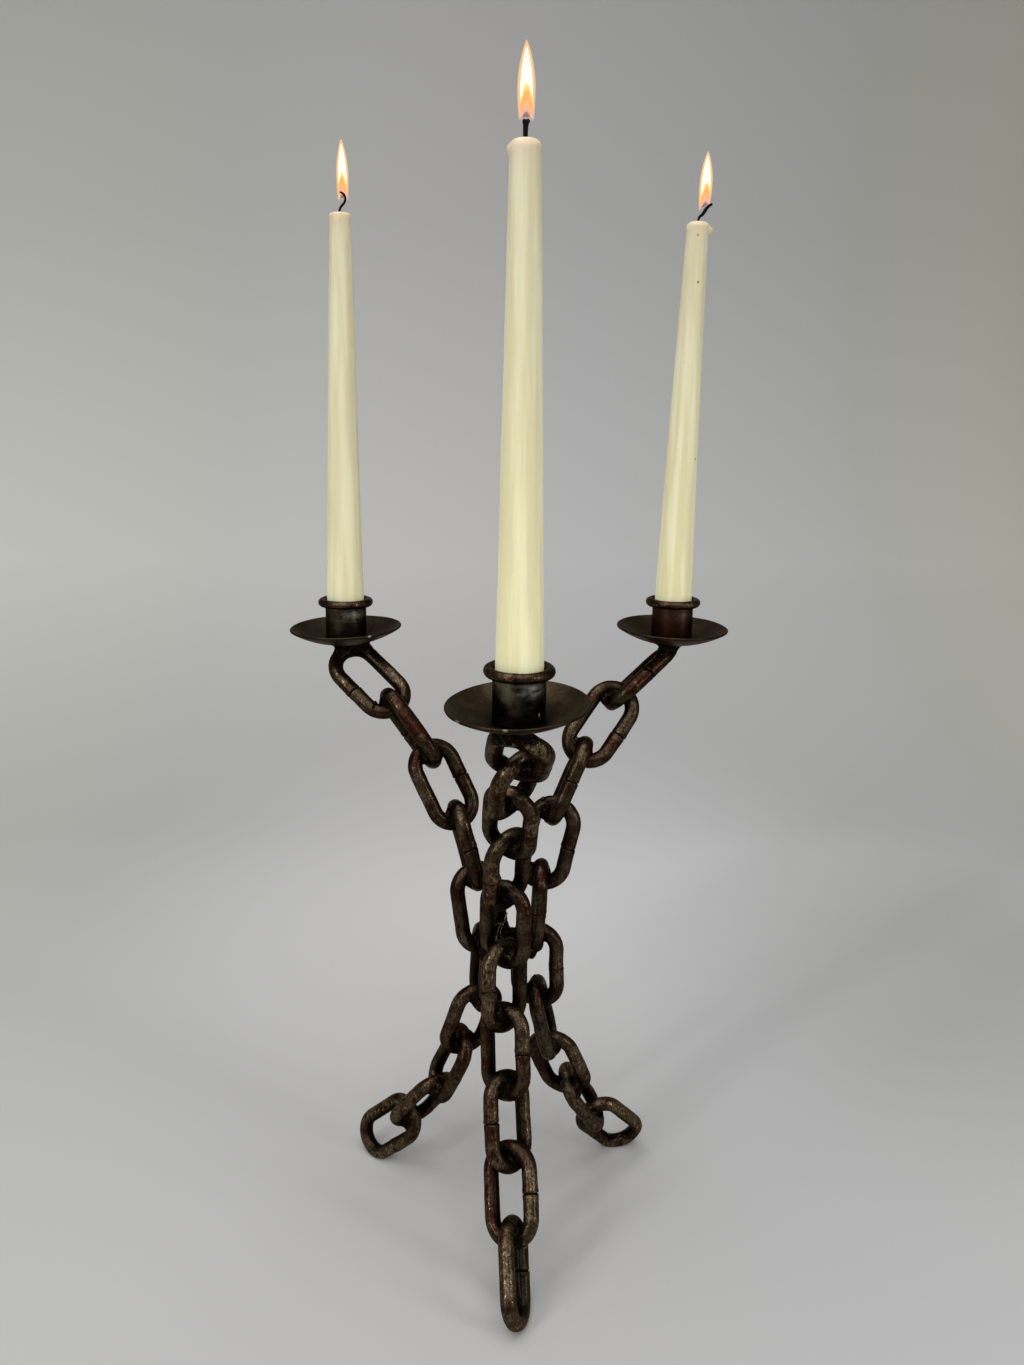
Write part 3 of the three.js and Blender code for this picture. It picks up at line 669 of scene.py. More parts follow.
class Link:
    """Where a chain link stands, read from its CAD node: its place, bend radius and half leg."""

    def __init__(self, node):
        self.bar = settings().chain.bar
        centre, (along, across, _), points = surface_axes(node)
        if along[2] < 0:
            along = -along
        lengths = points @ along
        widths = points @ across
        seam = widths[np.abs(lengths) < 0.002]
        if seam.size and (seam.mean() < 0) != (node in SEAM_ON_OTHER_LEG):
            across, widths = -across, -widths
        self.name = node
        self.bend = (widths.max() - widths.min() - self.bar) / 2
        self.leg = (lengths.max() - lengths.min() - self.bar) / 2 - self.bend
        self.centre = centre
        self.axes = np.column_stack([across, along, np.cross(across, along)])
        self.place = Matrix([[*self.axes[i], centre[i]] for i in range(3)] + [[0, 0, 0, 1]])

    def path(self):
        """Points along the middle of the bar."""
        steps = 72
        places = []
        for end in (1, -1):
            for angle in (math.pi * i / steps for i in range(steps + 1)):
                places.append((self.bend * end * math.cos(angle), end * (self.leg + self.bend * math.sin(angle)), 0))
        return np.array([self.place @ Vector(p) for p in places])

    def outside(self, points):
        """How far points lie outside the bar, and less than nothing inside it."""
        local = (points - self.centre) @ self.axes
        beyond = np.maximum(np.abs(local[:, 1]) - self.leg, 0)
        out = np.hypot(local[:, 0], beyond) - self.bend
        return np.hypot(out, local[:, 2]) - self.bar / 2


def round_box(node):
    """Middle, lowest and highest corner and outer radius of an upright round CAD node."""
    low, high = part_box(node)
    return (low + high) / 2, low, high, (high.x - low.x) / 2


def read_links():
    """Every link of every chain, from the foot up."""
    numbers = range(1, LINKS_PER_CHAIN + 1)
    return {chain: [Link(f"{chain}_link_{number:02d}") for number in numbers] for chain in CHAINS}


def crossing(lower, upper):
    """The middle of the gap where the bars of two links come nearest."""
    below, above = lower.path(), upper.path()
    gaps = np.linalg.norm(below[:, None, :] - above[None, :, :], axis=2)
    i, j = np.unravel_index(np.argmin(gaps), gaps.shape)
    return (Vector(below[i]) + Vector(above[j])) / 2


class Pan:
    """Where a drip pan stands, read from its CAD node: its lowest point, axis, radius and curve."""

    def __init__(self, chain):
        cup = settings().cup
        centre, (_, _, axis), points = surface_axes(f"{chain}_drip_pan")
        if axis[2] < 0:
            axis = -axis
        heights = points @ axis
        rises = np.linalg.norm(points - np.outer(heights, axis), axis=1)
        depth = heights[rises > rises.max() - 1e-4].min() - heights.min()
        self.axis = Matrix.Rotation(math.radians(CUPS[chain]["sag"]), 3, "X") @ Vector(axis)
        self.base = Vector(centre + axis * heights.min())
        self.radius = rises.max() + cup.rim_roll
        self.curve = (self.radius**2 + depth**2) / (2 * depth)
        self.middle = self.base + self.axis * self.curve
        self.inner = self.curve - cup.pan_wall

    def section(self, angle, away, on=0.0):
        """A point of the pan's section, at that angle from its lowest point and so far from its middle."""
        sine, cosine = math.sin(angle), math.cos(angle)
        return away * sine + on * cosine, self.curve - away * cosine + on * sine

    def outside(self, points):
        """How far points lie outside the pan's underside."""
        return np.linalg.norm(points - np.array(self.middle), axis=1) - self.curve

    def floor(self, x, y):
        """Height of the pan's inner face over a point of the floor plan."""
        return self.middle.z - math.sqrt(self.inner**2 - (x - self.middle.x) ** 2 - (y - self.middle.y) ** 2)


def bend_link(bm, link):
    """Bends round bar into a link in its own plane: up the seam leg, over, down and under."""
    chain = settings().chain
    _, edges = cut_end(bm, (link.bend, -link.leg, 0), chain.bar, chain.sides)
    near = [y for y in SEAM_ROWS if y < link.leg]
    rows = [-link.leg, *(-y for y in reversed(near)), 0.0, *near, link.leg]
    for low, high in zip(rows, rows[1:]):
        verts, edges = extrude_ring(bm, edges)
        bmesh.ops.translate(bm, vec=(0, high - low, 0), verts=verts)
    for end in (1, -1):
        verts = list({vert for edge in edges for vert in edge.verts})
        last = bmesh.ops.spin(
            bm, geom=verts + edges, cent=(0, end * link.leg, 0), axis=UP, angle=math.pi, steps=chain.bend_steps
        )["geom_last"]
        edges = [g for g in last if isinstance(g, bmesh.types.BMEdge)]
        steps = 12 if end > 0 else 0
        for _ in range(steps):
            verts, edges = extrude_ring(bm, edges)
            bmesh.ops.translate(bm, vec=(0, -2 * link.leg / steps, 0), verts=verts)
    close_up(bm, 2e-6)


def cut_seam(bm, link, openness, chance):
    """Opens the butt seam: a crack between two bar ends that are swollen and miss each other a little."""
    chain = settings().chain
    (soot,) = float_layers(bm, "soot")
    miss = chance.uniform(0, FULL_TURN)
    step = Vector((math.cos(miss), 0, math.sin(miss))) * chain.seam_step * (0.35 + 0.65 * openness)
    slant = chance.uniform(-0.1, 0.1)
    for vert in bm.verts:
        x, y, z = vert.co
        beyond = max(abs(y) - link.leg, 0.0)
        inner = max(0.0, (link.bend - math.hypot(x, beyond)) / (link.bar / 2))
        # Painted shade on the inner side of the bar, which faces the link's opening.
        vert[soot] = 0.9 * inner**1.2
        if x < 0 or abs(y) > link.leg:
            continue
        # A crack 0.5 mm wide, between ends that swell by 0.2 mm a little way from it.
        middle = Vector((link.bend, y, 0))
        crack = bell(y, 0.00026) * openness
        swell = 0.0002 * bell(abs(y) - 0.0016, 0.0014)
        reach = (vert.co - middle).length
        vert.co = middle + (vert.co - middle) * ((reach + swell - chain.seam_depth * crack) / reach)
        if y > 0:
            vert.co += step * max(0.0, 1 - y / 0.012) * (1 - crack)
        vert.co.y += slant * z * max(0.0, 1 - abs(y) / SEAM_ROWS[-1])
        line = bell(y, 0.00045) * (0.45 + 0.9 * openness)
        vert[soot] = min(1.0, max(vert[soot], line, 0.4 * bell(y, 0.0013)))


def age_bar(bm, contacts, core, painted_shade_share, handled, seed):
    """Bends and dents the bar a little, and marks where it is painted dark and where hands rub it bright.

    Soot and painted shade lie near the contacts with other links, and painted shade near the core of the
    waist. The whole bar has at least the given share of painted shade, and is rubbed the more the more it is handled.
    """
    chain = settings().chain
    soot = bm.verts.layers.float["soot"]
    (wear,) = float_layers(bm, "wear")
    bm.normal_update()
    for vert in bm.verts:
        here = vert.co.copy()
        near = min((here - contact).length for contact in contacts)
        # A bar wanders over 16 mm, less near its welds. Its dents are 6 mm and 2.2 mm across.
        loose = min(1.0, near / 0.012)
        wander = Vector([ripple(here, 0.016, seed + more) for more in (0, 31, 57)])
        dent = ripple(here, 0.006, seed) + 0.5 * ripple(here, 0.0022, seed + 4)
        vert.co += wander * chain.waviness * loose + vert.normal * dent * chain.hammering
        # Soot and painted shade reach 9 mm from a contact, and painted shade 13.5 mm from the core, with ragged edges.
        patch = 0.002 * ripple(here, 0.003, seed + 9)
        inside = math.hypot(here.x - core.x, here.y - core.y) + 2 * patch
        soot_and_shade_here = (1.5 * bell(near + patch, 0.0092), 1.7 * bell(inside, 0.0135))
        vert[soot] = max(vert[soot], min(1.0, max(soot_and_shade_here)), painted_shade_share)
        vert[wear] = handled + ripple(here, 0.02, seed + 2) + 0.6 * ripple(here, 0.007, seed + 6) - 1.2 * vert[soot]
        vert.co.z = max(vert.co.z, 0.0)


def lumpy_bead(bm, centre, size, height, seed, detail=3):
    """A bead of weld metal: a ball of those half widths, covered in lumps of that height."""
    ball = bmesh.ops.create_icosphere(bm, subdivisions=detail, radius=1.0)["verts"]
    for vert in ball:
        out = vert.co.normalized()
        # Two or three large lumps and smaller ones on them, whatever the size of the bead.
        lump = ripple(out * 0.0035, 0.0028, seed) + 0.5 * ripple(out * 0.0035, 0.0012, seed + 3)
        vert.co = centre + (Vector([part * long for part, long in zip(out, size)]) + out * lump * height)
    return ball


def weld_between(bm, centre, first, second, blend, reach, seed, side=None, detail=4):
    """A weld that fills in between two surfaces round a centre. It is fullest on the given side.

    first and second tell how far points lie outside each surface. blend is how far apart the surfaces
    may be where the weld still fills in, and reach is how far it may go from the centre.
    """
    lumps = settings().weld.lumps
    ball = bmesh.ops.create_icosphere(bm, subdivisions=detail, radius=1.0)["verts"]
    outs = np.array([vert.co.normalized() for vert in ball])
    noisy = np.array([ripple(out, 0.45, seed) + 0.6 * ripple(out, 0.2, seed + 3) for out in outs])
    # On the far side from the fullest the weld fills in by 0.42 as much.
    share = 1.0 if side is None else 0.42 + 0.58 * np.clip(0.55 + 0.75 * (outs @ np.array(side)), 0, 1)
    width = blend * share * (1 + 0.28 * noisy)
    radii = np.full(len(outs), reach)
    found = np.zeros(len(outs), bool)
    # Each point moves out step by step until it leaves the surfaces and what is filled in between.
    for radius in np.arange(0.0003, reach, reach / 90):
        points = np.array(centre) + outs * radius
        a, b = first(points), second(points)
        near = np.maximum(width - np.abs(a - b), 0) / width
        outside = (np.minimum(a, b) - near**2 * width / 4 > 0) & ~found
        radii[outside] = radius
        found |= outside
    radii += np.where(found, noisy * lumps, 0.0)
    for vert, out, radius in zip(ball, outs, radii):
        vert.co = Vector(centre) + Vector(out) * max(radius, 0.0005)
    bmesh.ops.smooth_vert(bm, verts=ball, factor=0.35, use_axis_x=True, use_axis_y=True, use_axis_z=True)
    return ball


# Pieces


def make_links():
    """The links, each bent in its own plane, split by its seam, put in its place and then aged."""
    links = read_links()
    material = waxed_steel()
    core = sum((Vector(row[WAIST_LINK].centre) for row in links.values()), Vector()) / len(CHAINS)
    for number, chain in enumerate(CHAINS):
        row = links[chain]
        contacts = [crossing(a, b) for a, b in zip(row, row[1:])]
        for index, link in enumerate(row):
            bm = bmesh.new()
            bend_link(bm, link)
            cut_seam(bm, link, SEAM_OPENNESS[chain][index], random.Random(link.name))
            bmesh.ops.transform(bm, matrix=link.place, verts=bm.verts)
            ends = contacts[max(0, index - 1) : index + 1]
            # The upper links of the rear chains are darkened all over by painted shade and rubbed least, and the feet
            # are rubbed most.
            painted_shade_share = 0.25 if chain != "front" and index >= WAIST_LINK else 0.0
            handled = (0.1 if chain == "front" else 0.5) if index < 2 else 0.0
            age_bar(bm, ends, core, painted_shade_share, handled, seed=LINKS_PER_CHAIN * number + index)
            add_piece(f"{link.name}_bar", bm, material, METAL_BODY, [link.name])


def make_crossing_beads():
    """A weld bead where each link crosses the next, with its drops of spatter."""
    weld = settings().weld
    material = weld_scale()
    for number, (chain, row) in enumerate(read_links().items()):
        for index, (lower, upper) in enumerate(zip(row, row[1:])):
            bm = bmesh.new()
            side = SIDES[CROSSING_SIDES[chain][index]].normalized()
            weld_between(
                bm, crossing(lower, upper), lower.outside, upper.outside, weld.crossing_blend, reach=0.0088,
                seed=20 * number + index, side=side,
            )
            for *place, size in SPATTER.get(upper.name, ()):
                drop = Vector((1.0, 1.0, 1.2)) * size * MM
                lumpy_bead(bm, Vector(place) * MM, drop, weld.lumps, seed=index, detail=2)
            add_piece(f"{upper.name}_weld_bead", bm, material, METAL_BODY)


def make_waist_welds():
    """The welds that fill in between the nearest links of two chains at the waist, with lumps on them."""
    weld = settings().weld
    material = weld_scale()
    links = read_links()
    for number, name in enumerate(node for node in sorted(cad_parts) if node.startswith("waist_weld")):
        chance = random.Random(name)
        centre = surface_axes(name)[0]

        def apart(link):
            return float(link.outside(centre[None, :])[0])

        nearest = sorted((min(row, key=apart) for row in links.values()), key=apart)
        bm = bmesh.new()
        first, second = nearest[0].outside, nearest[1].outside
        weld_between(bm, centre, first, second, weld.waist_blend, reach=0.0105, seed=number)
        for i in range(4):
            away = Vector((chance.uniform(-1, 1), -0.6, chance.uniform(-1, 1))) * 0.003
            size = chance.uniform(0.0014, 0.0024)
            lumpy_bead(bm, Vector(centre) + away, (size, size * 0.9, size * 1.2), weld.lumps, seed=number + i)
        if name.endswith("front_right"):
            # A web down to the front chain.
            for away in ((0.0042, -0.0016, 0.0012), (0.0022, -0.0026, -0.002)):
                corner = Vector(centre) + Vector(away)
                lumpy_bead(bm, corner, (0.0034, 0.0034, 0.0042), weld.lumps / 2, seed=number)
        add_piece(f"{name}_lumps", bm, material, METAL_BODY, [name])


def make_strands():
    """Thin strands of stray wire across the hollow of the waist."""
    bm = bmesh.new()
    for i, points in enumerate(STRANDS):
        places = [Vector(place) * MM for place in smooth_path(points, count=8)]
        # About 0.7 mm thick, a little more or less along each strand.
        radii = [0.00036 + 0.0001 * ripple(place, 0.002, i) for place in places]
        sweep(bm, places, radii, sides=8)
    (wear,) = float_layers(bm, "wear")
    # Bright all over, as stray wire stays.
    for vert in bm.verts:
        vert[wear] = 2.6
    add_piece("waist_strands", bm, waxed_steel(), METAL_BODY)


def make_pan_welds():
    """The weld that flares out from each top link to the pan on it."""
    weld = settings().weld
    material = weld_scale()
    for number, (chain, row) in enumerate(read_links().items()):
        pan = Pan(chain)
        link = row[-1]
        path = link.path()
        nearest = Vector(path[np.argmin(pan.outside(path))])
        up = (pan.middle - nearest).normalized()
        gap = max(0.0, float(pan.outside(np.array([nearest]))[0]) - link.bar / 2)
        centre = nearest + up * (link.bar / 2 + gap / 2)
        bm = bmesh.new()
        ball = weld_between(
            bm, centre, link.outside, pan.outside, weld.pan_blend, reach=0.015, seed=number + 11, detail=5
        )
        # The weld sinks half way into the sheet and no further.
        sunk = pan.curve - 0.0007
        for vert in ball:
            away = vert.co - pan.middle
            if away.length < sunk:
                vert.co = pan.middle + away.normalized() * sunk
        node = f"{chain}_pan_weld"
        add_piece(f"{node}_flare", bm, material, METAL_BODY, [node])


def make_drip_pans():
    """The dishes, each spun from the section of its sheet and then wavered and nicked at the rim."""
    cup = settings().cup
    material = pan_steel()
    half = cup.pan_wall / 2
    socket, collar_shade = 0.0127, 0.006
    nick_width, nick_depth, nick_reach = 0.0009, 0.0006, 0.0012
    for number, chain in enumerate(CHAINS):
        pan = Pan(chain)
        reach = math.asin(pan.radius / pan.curve)
        arc = [reach * i / 22 for i in range(22)]
        # The sheet's rounded edge starts half a wall short of the rim, and takes half a turn.
        rim = reach - 0.012
        profile = [pan.section(angle, pan.curve) for angle in arc]
        for turn in (math.pi * i / 8 for i in range(9)):
            profile.append(pan.section(rim, pan.curve - half + half * math.cos(turn), half * math.sin(turn)))
        profile += [pan.section(angle, pan.inner) for angle in reversed(arc)]
        bm = bmesh.new()
        spin_profile(bm, profile, steps=144)
        bare, soot, under = float_layers(bm, "bare", "soot", "under")
        bm.normal_update()
        for vert in bm.verts:
            # Downward faces get the reddish tint and painted shade.
            vert[under] = 0.85 * min(1.0, max(0.0, 0.6 - 1.6 * vert.normal.z))
            out = math.hypot(vert.co.x, vert.co.y)
            around = math.atan2(vert.co.y, vert.co.x)
            # The rim wavers and the middle doesn't. Painted shade lies round the socket and along the rim, and over the
            # whole of a rear pan.
            waver = ripple((math.cos(around), math.sin(around), 0), 0.7, 3 * number) * cup.rim_waver
            waver *= (out / pan.radius) ** 2
            edge = max(0.0, 1 - abs(pan.radius - out - 0.0004) / 0.0008)
            painted_shade = bell(max(0.0, out - socket), collar_shade)
            vert[soot] = max(CUPS[chain]["painted_shade_share"], 0.75 * painted_shade, 0.6 * edge)
            vert.co.z += 1.6 * waver
            moves = [waver] if out > 1e-6 else []
            for degrees, size in CUPS[chain]["nicks"]:
                nick = bell(turn_from(around, degrees) * out, nick_width * size)
                nick *= max(0.0, 1 - (pan.radius - out) / nick_reach)
                if nick > 0.02:
                    moves.append(-nick_depth * size * nick)
                    vert[bare] = max(vert[bare], min(1.0, 1.1 * nick))
            for move in moves:
                vert.co.x *= 1 + move / out
                vert.co.y *= 1 + move / out
        tilt = UP.rotation_difference(pan.axis).to_matrix().to_4x4()
        bmesh.ops.transform(bm, matrix=Matrix.Translation(pan.base) @ tilt, verts=bm.verts)
        node = f"{chain}_drip_pan"
        add_piece(f"{node}_dish", bm, material, METAL_BODY, [node])


def make_sockets():
    """The tubes, each cut to the pan it stands on, with dents, rust, an olive cloud and a painted sheen."""
    cup = settings().cup
    material = socket_steel()
    rows = 18
    edge = 0.0002
    for number, chain in enumerate(CHAINS):
        node = f"{chain}_socket"
        middle, low, high, outer = round_box(node)
        height = high.z - low.z
        outer += cup.socket_swell
        bore = outer - cup.socket_wall
        pan = Pan(chain)
        rises = [height * i / rows for i in range(rows)] + [height - edge]
        profile = [(outer, z) for z in rises] + [(outer - edge, height), (bore + edge, height)]
        bm = bmesh.new()
        spin_profile(bm, profile + [(bore, z) for z in reversed(rises)], steps=96, closed=True)
        sheen, haze, rust = float_layers(bm, "sheen", "haze", "rust")
        browned = CUPS[chain]["rust"]
        for vert in bm.verts:
            out = Vector((vert.co.x, vert.co.y, 0))
            share = vert.co.z / height
            x, y = vert.co.x + middle.x, vert.co.y + middle.y
            foot = pan.floor(x, y) - 0.0001
            turn = math.degrees(math.atan2(vert.co.y, vert.co.x))
            # A painted sheen near the front, under the collar, and a clouded patch lower on its left. Both fade lower
            # down, so the tube is darker towards the bottom.
            rubbed = (math.remainder(turn + 68, 360) / 32) ** 2 + ((share - 0.76) / 0.12) ** 2
            clouded = (math.remainder(turn + 112, 360) / 24) ** 2 + ((share - 0.64) / 0.2) ** 2
            vert[rust] = browned * (0.75 + 0.25 * share)
            vert[sheen] = (0.04 + 0.2 * share**4 + 0.95 * math.exp(-rubbed)) * (1 - 0.9 * browned)
            vert[haze] = math.exp(-clouded) + 0.6 * share * math.cos(math.radians(3 * turn)) - 0.4 * (1 - share)
            vert.co = Vector((x, y, foot + (high.z - foot) * share))
            # Dents 9 mm across.
            vert.co += out.normalized() * 0.00012 * ripple(vert.co, 0.009, number)
        if chain == "front":
            nib = lumpy_bead(bm, SOCKET_NIB, (0.0005, 0.0005, 0.0016), height=0.0001, seed=number, detail=2)
            # The nib carries a painted glint.
            for vert in nib:
                vert[sheen] = 0.8
        add_piece(f"{node}_tube", bm, material, METAL_BODY, [node])


def make_collars():
    """The rings of round bar on the sockets, with a scar where the two ends of each meet."""
    cup = settings().cup
    material = waxed_steel()
    for number, chain in enumerate(CHAINS):
        node = f"{chain}_collar"
        middle, _, _, outer = round_box(node)
        ring = outer - cup.collar_bar / 2
        bm = bmesh.new()
        verts, edges = cut_end(bm, (ring, 0, 0), cup.collar_bar, sides=22)
        spin_round(bm, verts, edges, steps=120)
        soot, wear = float_layers(bm, "soot", "wear")
        bm.normal_update()
        for vert in bm.verts:
            # A lumpy scar 6 mm wide, and in it the crack between the ends.
            apart = turn_from(math.atan2(vert.co.y, vert.co.x), CUPS[chain]["joint"]) * ring
            dent = 0.0001 * ripple(vert.co, 0.006, number)
            lump = 0.00038 * bell(apart, 0.0028) * (0.3 + ripple(vert.co, 0.0013, number + 3))
            vert.co += vert.normal * (dent + lump)
            # Painted shade on the inner side, besides the base tint and the dark crack between the ends.
            inside = max(0.0, ring - math.hypot(vert.co.x, vert.co.y)) / (cup.collar_bar / 2)
            vert[soot] = min(1.0, 0.14 + 0.6 * bell(apart, 0.0004) + 0.45 * inside)
            vert[wear] = 0.8 * ripple(vert.co, 0.012, number) - 0.5
        # A collar sags somewhat more than the pan below it.
        sag = Matrix.Rotation(math.radians(1.6 * CUPS[chain]["sag"]), 4, "X")
        bmesh.ops.transform(bm, matrix=Matrix.Translation(middle) @ sag, verts=bm.verts)
        add_piece(f"{node}_ring", bm, material, METAL_BODY, [node])


def candle_tip(chain):
    """The middle of a candle's tip, as it leans and has burnt down."""
    middle, _, high, _ = round_box(f"{chain}_candle")
    shape = CANDLES[chain]
    return Vector((middle.x + shape["lean"] * MM, middle.y, high.z - shape["burnt"] * MM))


def make_candles():
    """The candles: straight in the socket, then tapered, with a rounded shoulder, drips and dents."""
    candle = settings().candle
    material = candle_wax()
    bevel = 0.0006
    for number, chain in enumerate(CHAINS):
        node = f"{chain}_candle"
        shape = CANDLES[chain]
        centre, low, _, wide = round_box(node)
        tip = shape["tip"] * MM / 2
        drop = shape["shoulder"] * MM
        # The candle is straight from its foot to just above the socket's mouth.
        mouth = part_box(f"{chain}_socket")[1].z - low.z + 0.0025
        tall = candle_tip(chain).z - low.z
        shoulder = tall - drop
        # The rows stand closer together in the top 24 mm, where the drips are.
        melt = shoulder - 0.024
        profile = [(0, 0), (wide - bevel, 0), (wide, bevel)] + [(wide, mouth * i / 8) for i in range(1, 8)]
        heights = [mouth + (melt - mouth) * i / 60 for i in range(61)]
        heights += [melt + (shoulder - melt) * i / 36 for i in range(1, 37)]
        wide += candle.swell
        profile += [(wide + (tip - wide) * (height - mouth) / (shoulder - mouth), height) for height in heights]
        # A deep shoulder leaves a smaller flat top.
        flat = max(tip * 0.52, tip - 1.4 * drop)
        for angle in (math.pi / 2 * i / 12 for i in range(1, 13)):
            profile.append((flat + (tip - flat) * math.cos(angle), shoulder + drop * math.sin(angle)))
        # A hollow of melted wax round the wick.
        profile += [(0.0028, tall - 0.00005), (0.0018, tall - 0.0005), (0.001, tall - 0.001), (0, tall - 0.0011)]
        bm = bmesh.new()
        spin_profile(bm, profile, steps=96)
        glow, thick = float_layers(bm, "glow", "thick")
        for vert in bm.verts:
            around = Vector((vert.co.x, vert.co.y, 0))
            height = vert.co.z
            share = height / tall
            # Painted light from below, strongest at the foot.
            vert[thick] = shape["full"] * (1 - share)
            if around.length > 1e-5 and height > mouth:
                out = around.normalized()
                turn = math.atan2(out.y, out.x)
                bulge = ripple((around.x, around.y, height * 0.12), 0.006, number) * 0.00014
                bulge += bell(tall - height, 0.006) * ripple(vert.co, 0.003, number + 5) * 0.0003
                for degrees, down, stand, broad, long in shape["drips"]:
                    apart = turn_from(turn, degrees) * around.length / MM
                    below = (tall - height) / MM - down
                    # A drip draws out below its thickest point.
                    long = long if below < 0 else 1.5 * long
                    bulge += MM * stand * math.exp(-((apart / broad) ** 2) - abs(below / long) ** 2.4)
                vert.co += out * bulge
            # Painted flame light reaches 6.5 mm down into the wax.
            vert[glow] = 0.7 * math.exp(-((max(0.0, tall - height) / 0.0065) ** 1.4))
            # A candle bends the more the higher up, until its tip stands off by the whole lean.
            vert.co.x += shape["lean"] * MM * max(0.0, share - 0.1) ** 1.25 * 1.14
        bmesh.ops.translate(bm, vec=(centre.x, centre.y, low.z), verts=bm.verts)
        add_piece(f"{node}_wax", bm, material, node, [node])


def make_wicks():
    """The burnt wicks, curled forward where they hang over."""
    material = charred_cotton()
    for number, chain in enumerate(CHAINS):
        tip = candle_tip(chain)
        line = smooth_path(WICKS[chain], count=5)
        bend = 0.0 if chain == "front" else 0.035
        places = [tip + Vector((right, -bend * max(0.0, up) ** 2, up)) * MM for right, up, _ in line]
        bm = bmesh.new()
        sweep(bm, places, [thickness * MM / 2 for *_, thickness in line], sides=14)
        for vert in bm.verts:
            vert.co += (vert.co - tip).normalized() * 0.00013 * ripple(vert.co, 0.0006, number)
        if chain == "front":
            # Two knobs of soot on the end of the straight wick.
            for side in (-1, 1):
                knob = tip + Vector((0.0001 + side * 0.0009, 0, 0.007))
                lumpy_bead(bm, knob, (0.00075, 0.0006, 0.0009), height=0.00025, seed=side, detail=2)
        add_piece(f"{chain}_wick_cord", bm, material, f"{chain}_candle", [f"{chain}_wick"])


def flame_profile(width, tall):
    """Half widths of a candle flame: a hollow foot over the wick, almost upright sides, then a long taper."""
    foot = 0.42 * width
    profile = []
    for angle in (math.pi / 2 * i / 6 for i in range(6)):
        profile.append((foot * math.sin(angle), 0.09 * tall * math.cos(angle)))
    for share in (i / 48 for i in range(48)):
        body = 0.84 + 0.16 * math.sin(math.pi / 2 * min(1.0, share / 0.4))
        taper = math.cos(math.pi / 2 * max(0.0, (share - 0.4) / 0.6)) ** 0.78
        profile.append((width / 2 * body * taper, tall * share))
    return profile + [(0, tall)]


def make_flames():
    """The flames, each of three layers of gas one inside the other."""
    candle = settings().candle
    # The mantle of a candle flame is clear peach over a golden shell. Inside it hot soot glows near white
    # over an orange arch, and the foot round the wick is a faint grey. Each layer has its width, lift and
    # height as shares of the flame's, then its glow, from the foot up, and how clear it is.
    layers = (
        ("mantle", 1.04, 0.0, 1.0, flame_gas(
            "flame_mantle",
            ((0.0, "#B5AEB4"), (0.12, "#D8BDB4"), (0.24, candle.flame_edge), (1.0, candle.flame_edge)),
            ((0.0, 0.97), (0.1, 0.92), (0.2, 0.76), (0.3, 0.7), (1.0, 0.7)), 1.35,
        )),
        ("shell", 0.88, 0.01, 0.97, flame_gas(
            "flame_shell",
            ((0.0, "#BDB4B8"), (0.14, "#F0B9A2"), (0.26, "#FFA64C"), (0.6, "#FFBA54"), (1.0, "#FFAC54")),
            ((0.0, 0.99), (0.12, 0.97), (0.22, 0.76), (1.0, 0.62)), 1.25,
        )),
        ("core", 0.7, 0.02, 0.9, flame_gas(
            "flame_core",
            ((0.0, "#A09A9E"), (0.12, "#C8957C"), (0.19, "#F08058"), (0.28, candle.flame_orange),
             (0.36, "#FF7420"), (0.43, "#FFB070"), (0.5, candle.flame_white)),
            ((0.0, 0.99), (0.12, 0.98), (0.19, 0.75), (0.26, 0.12), (0.32, 0.0)), 2.0,
        )),
    )
    for chain, shape in FLAMES.items():
        full = (shape["height"] - shape["rise"]) * MM
        for part, width, lift, tall, material in layers:
            bm = bmesh.new()
            spin_profile(bm, flame_profile(shape["width"] * MM * width, full * tall), steps=32)
            (layer,) = float_layers(bm, "height")
            for vert in bm.verts:
                share = lift + vert.co.z / full
                # The glow dips to an arch, lower at the sides than in the middle.
                vert[layer] = share + 0.19 * (vert.co.x / (shape["width"] * MM / 2 * width)) ** 2
                sway = shape["foot"] + (shape["tip"] - shape["foot"]) * min(1.0, share) ** shape["late"]
                lean = shape["slant"] * vert.co.x * (1 - share) ** 2
                vert.co.x += sway * MM
                vert.co.z += full * lift + lean
            bmesh.ops.translate(bm, vec=candle_tip(chain) + Vector((0, 0, shape["rise"] * MM)), verts=bm.verts)
            add_piece(f"{chain}_flame_{part}", bm, material, f"{chain}_candle")


# Stage


def make_sweep():
    """A seamless roll of paper: the floor, the bend behind it and the wall."""
    half, near, wall, bend, top = 4.5, -2.6, 1.6, 0.9, 3.2
    points = [(near, 0)]
    for angle in (math.pi / 2 * i / 24 for i in range(25)):
        points.append((wall - bend + bend * math.sin(angle), bend - bend * math.cos(angle)))
    bm = bmesh.new()
    verts = [bm.verts.new((-half, *point)) for point in points + [(wall, top)]]
    new, _ = extrude_ring(bm, [bm.edges.new(pair) for pair in zip(verts, verts[1:])])
    bmesh.ops.translate(bm, vec=(2 * half, 0, 0), verts=new)
    bmesh.ops.recalc_face_normals(bm, faces=bm.faces)
    if min(bm.faces, key=lambda face: face.calc_center_median().z).normal.z < 0:
        bmesh.ops.reverse_faces(bm, faces=bm.faces)
    mesh_object("studio_sweep", bm, studio_paper())


def add_softbox(name, place, target, width, height, power):
    """A flat lamp that faces a point."""
    light = bpy.data.lights.new(name, "AREA")
    light.shape = "RECTANGLE"
    light.size = width
    light.size_y = height
    light.energy = power
    box = bpy.data.objects.new(name, light)
    box.location = place
    box.rotation_euler = (Vector(target) - Vector(place)).to_track_quat("-Z", "Y").to_euler()
    bpy.context.scene.collection.objects.link(box)


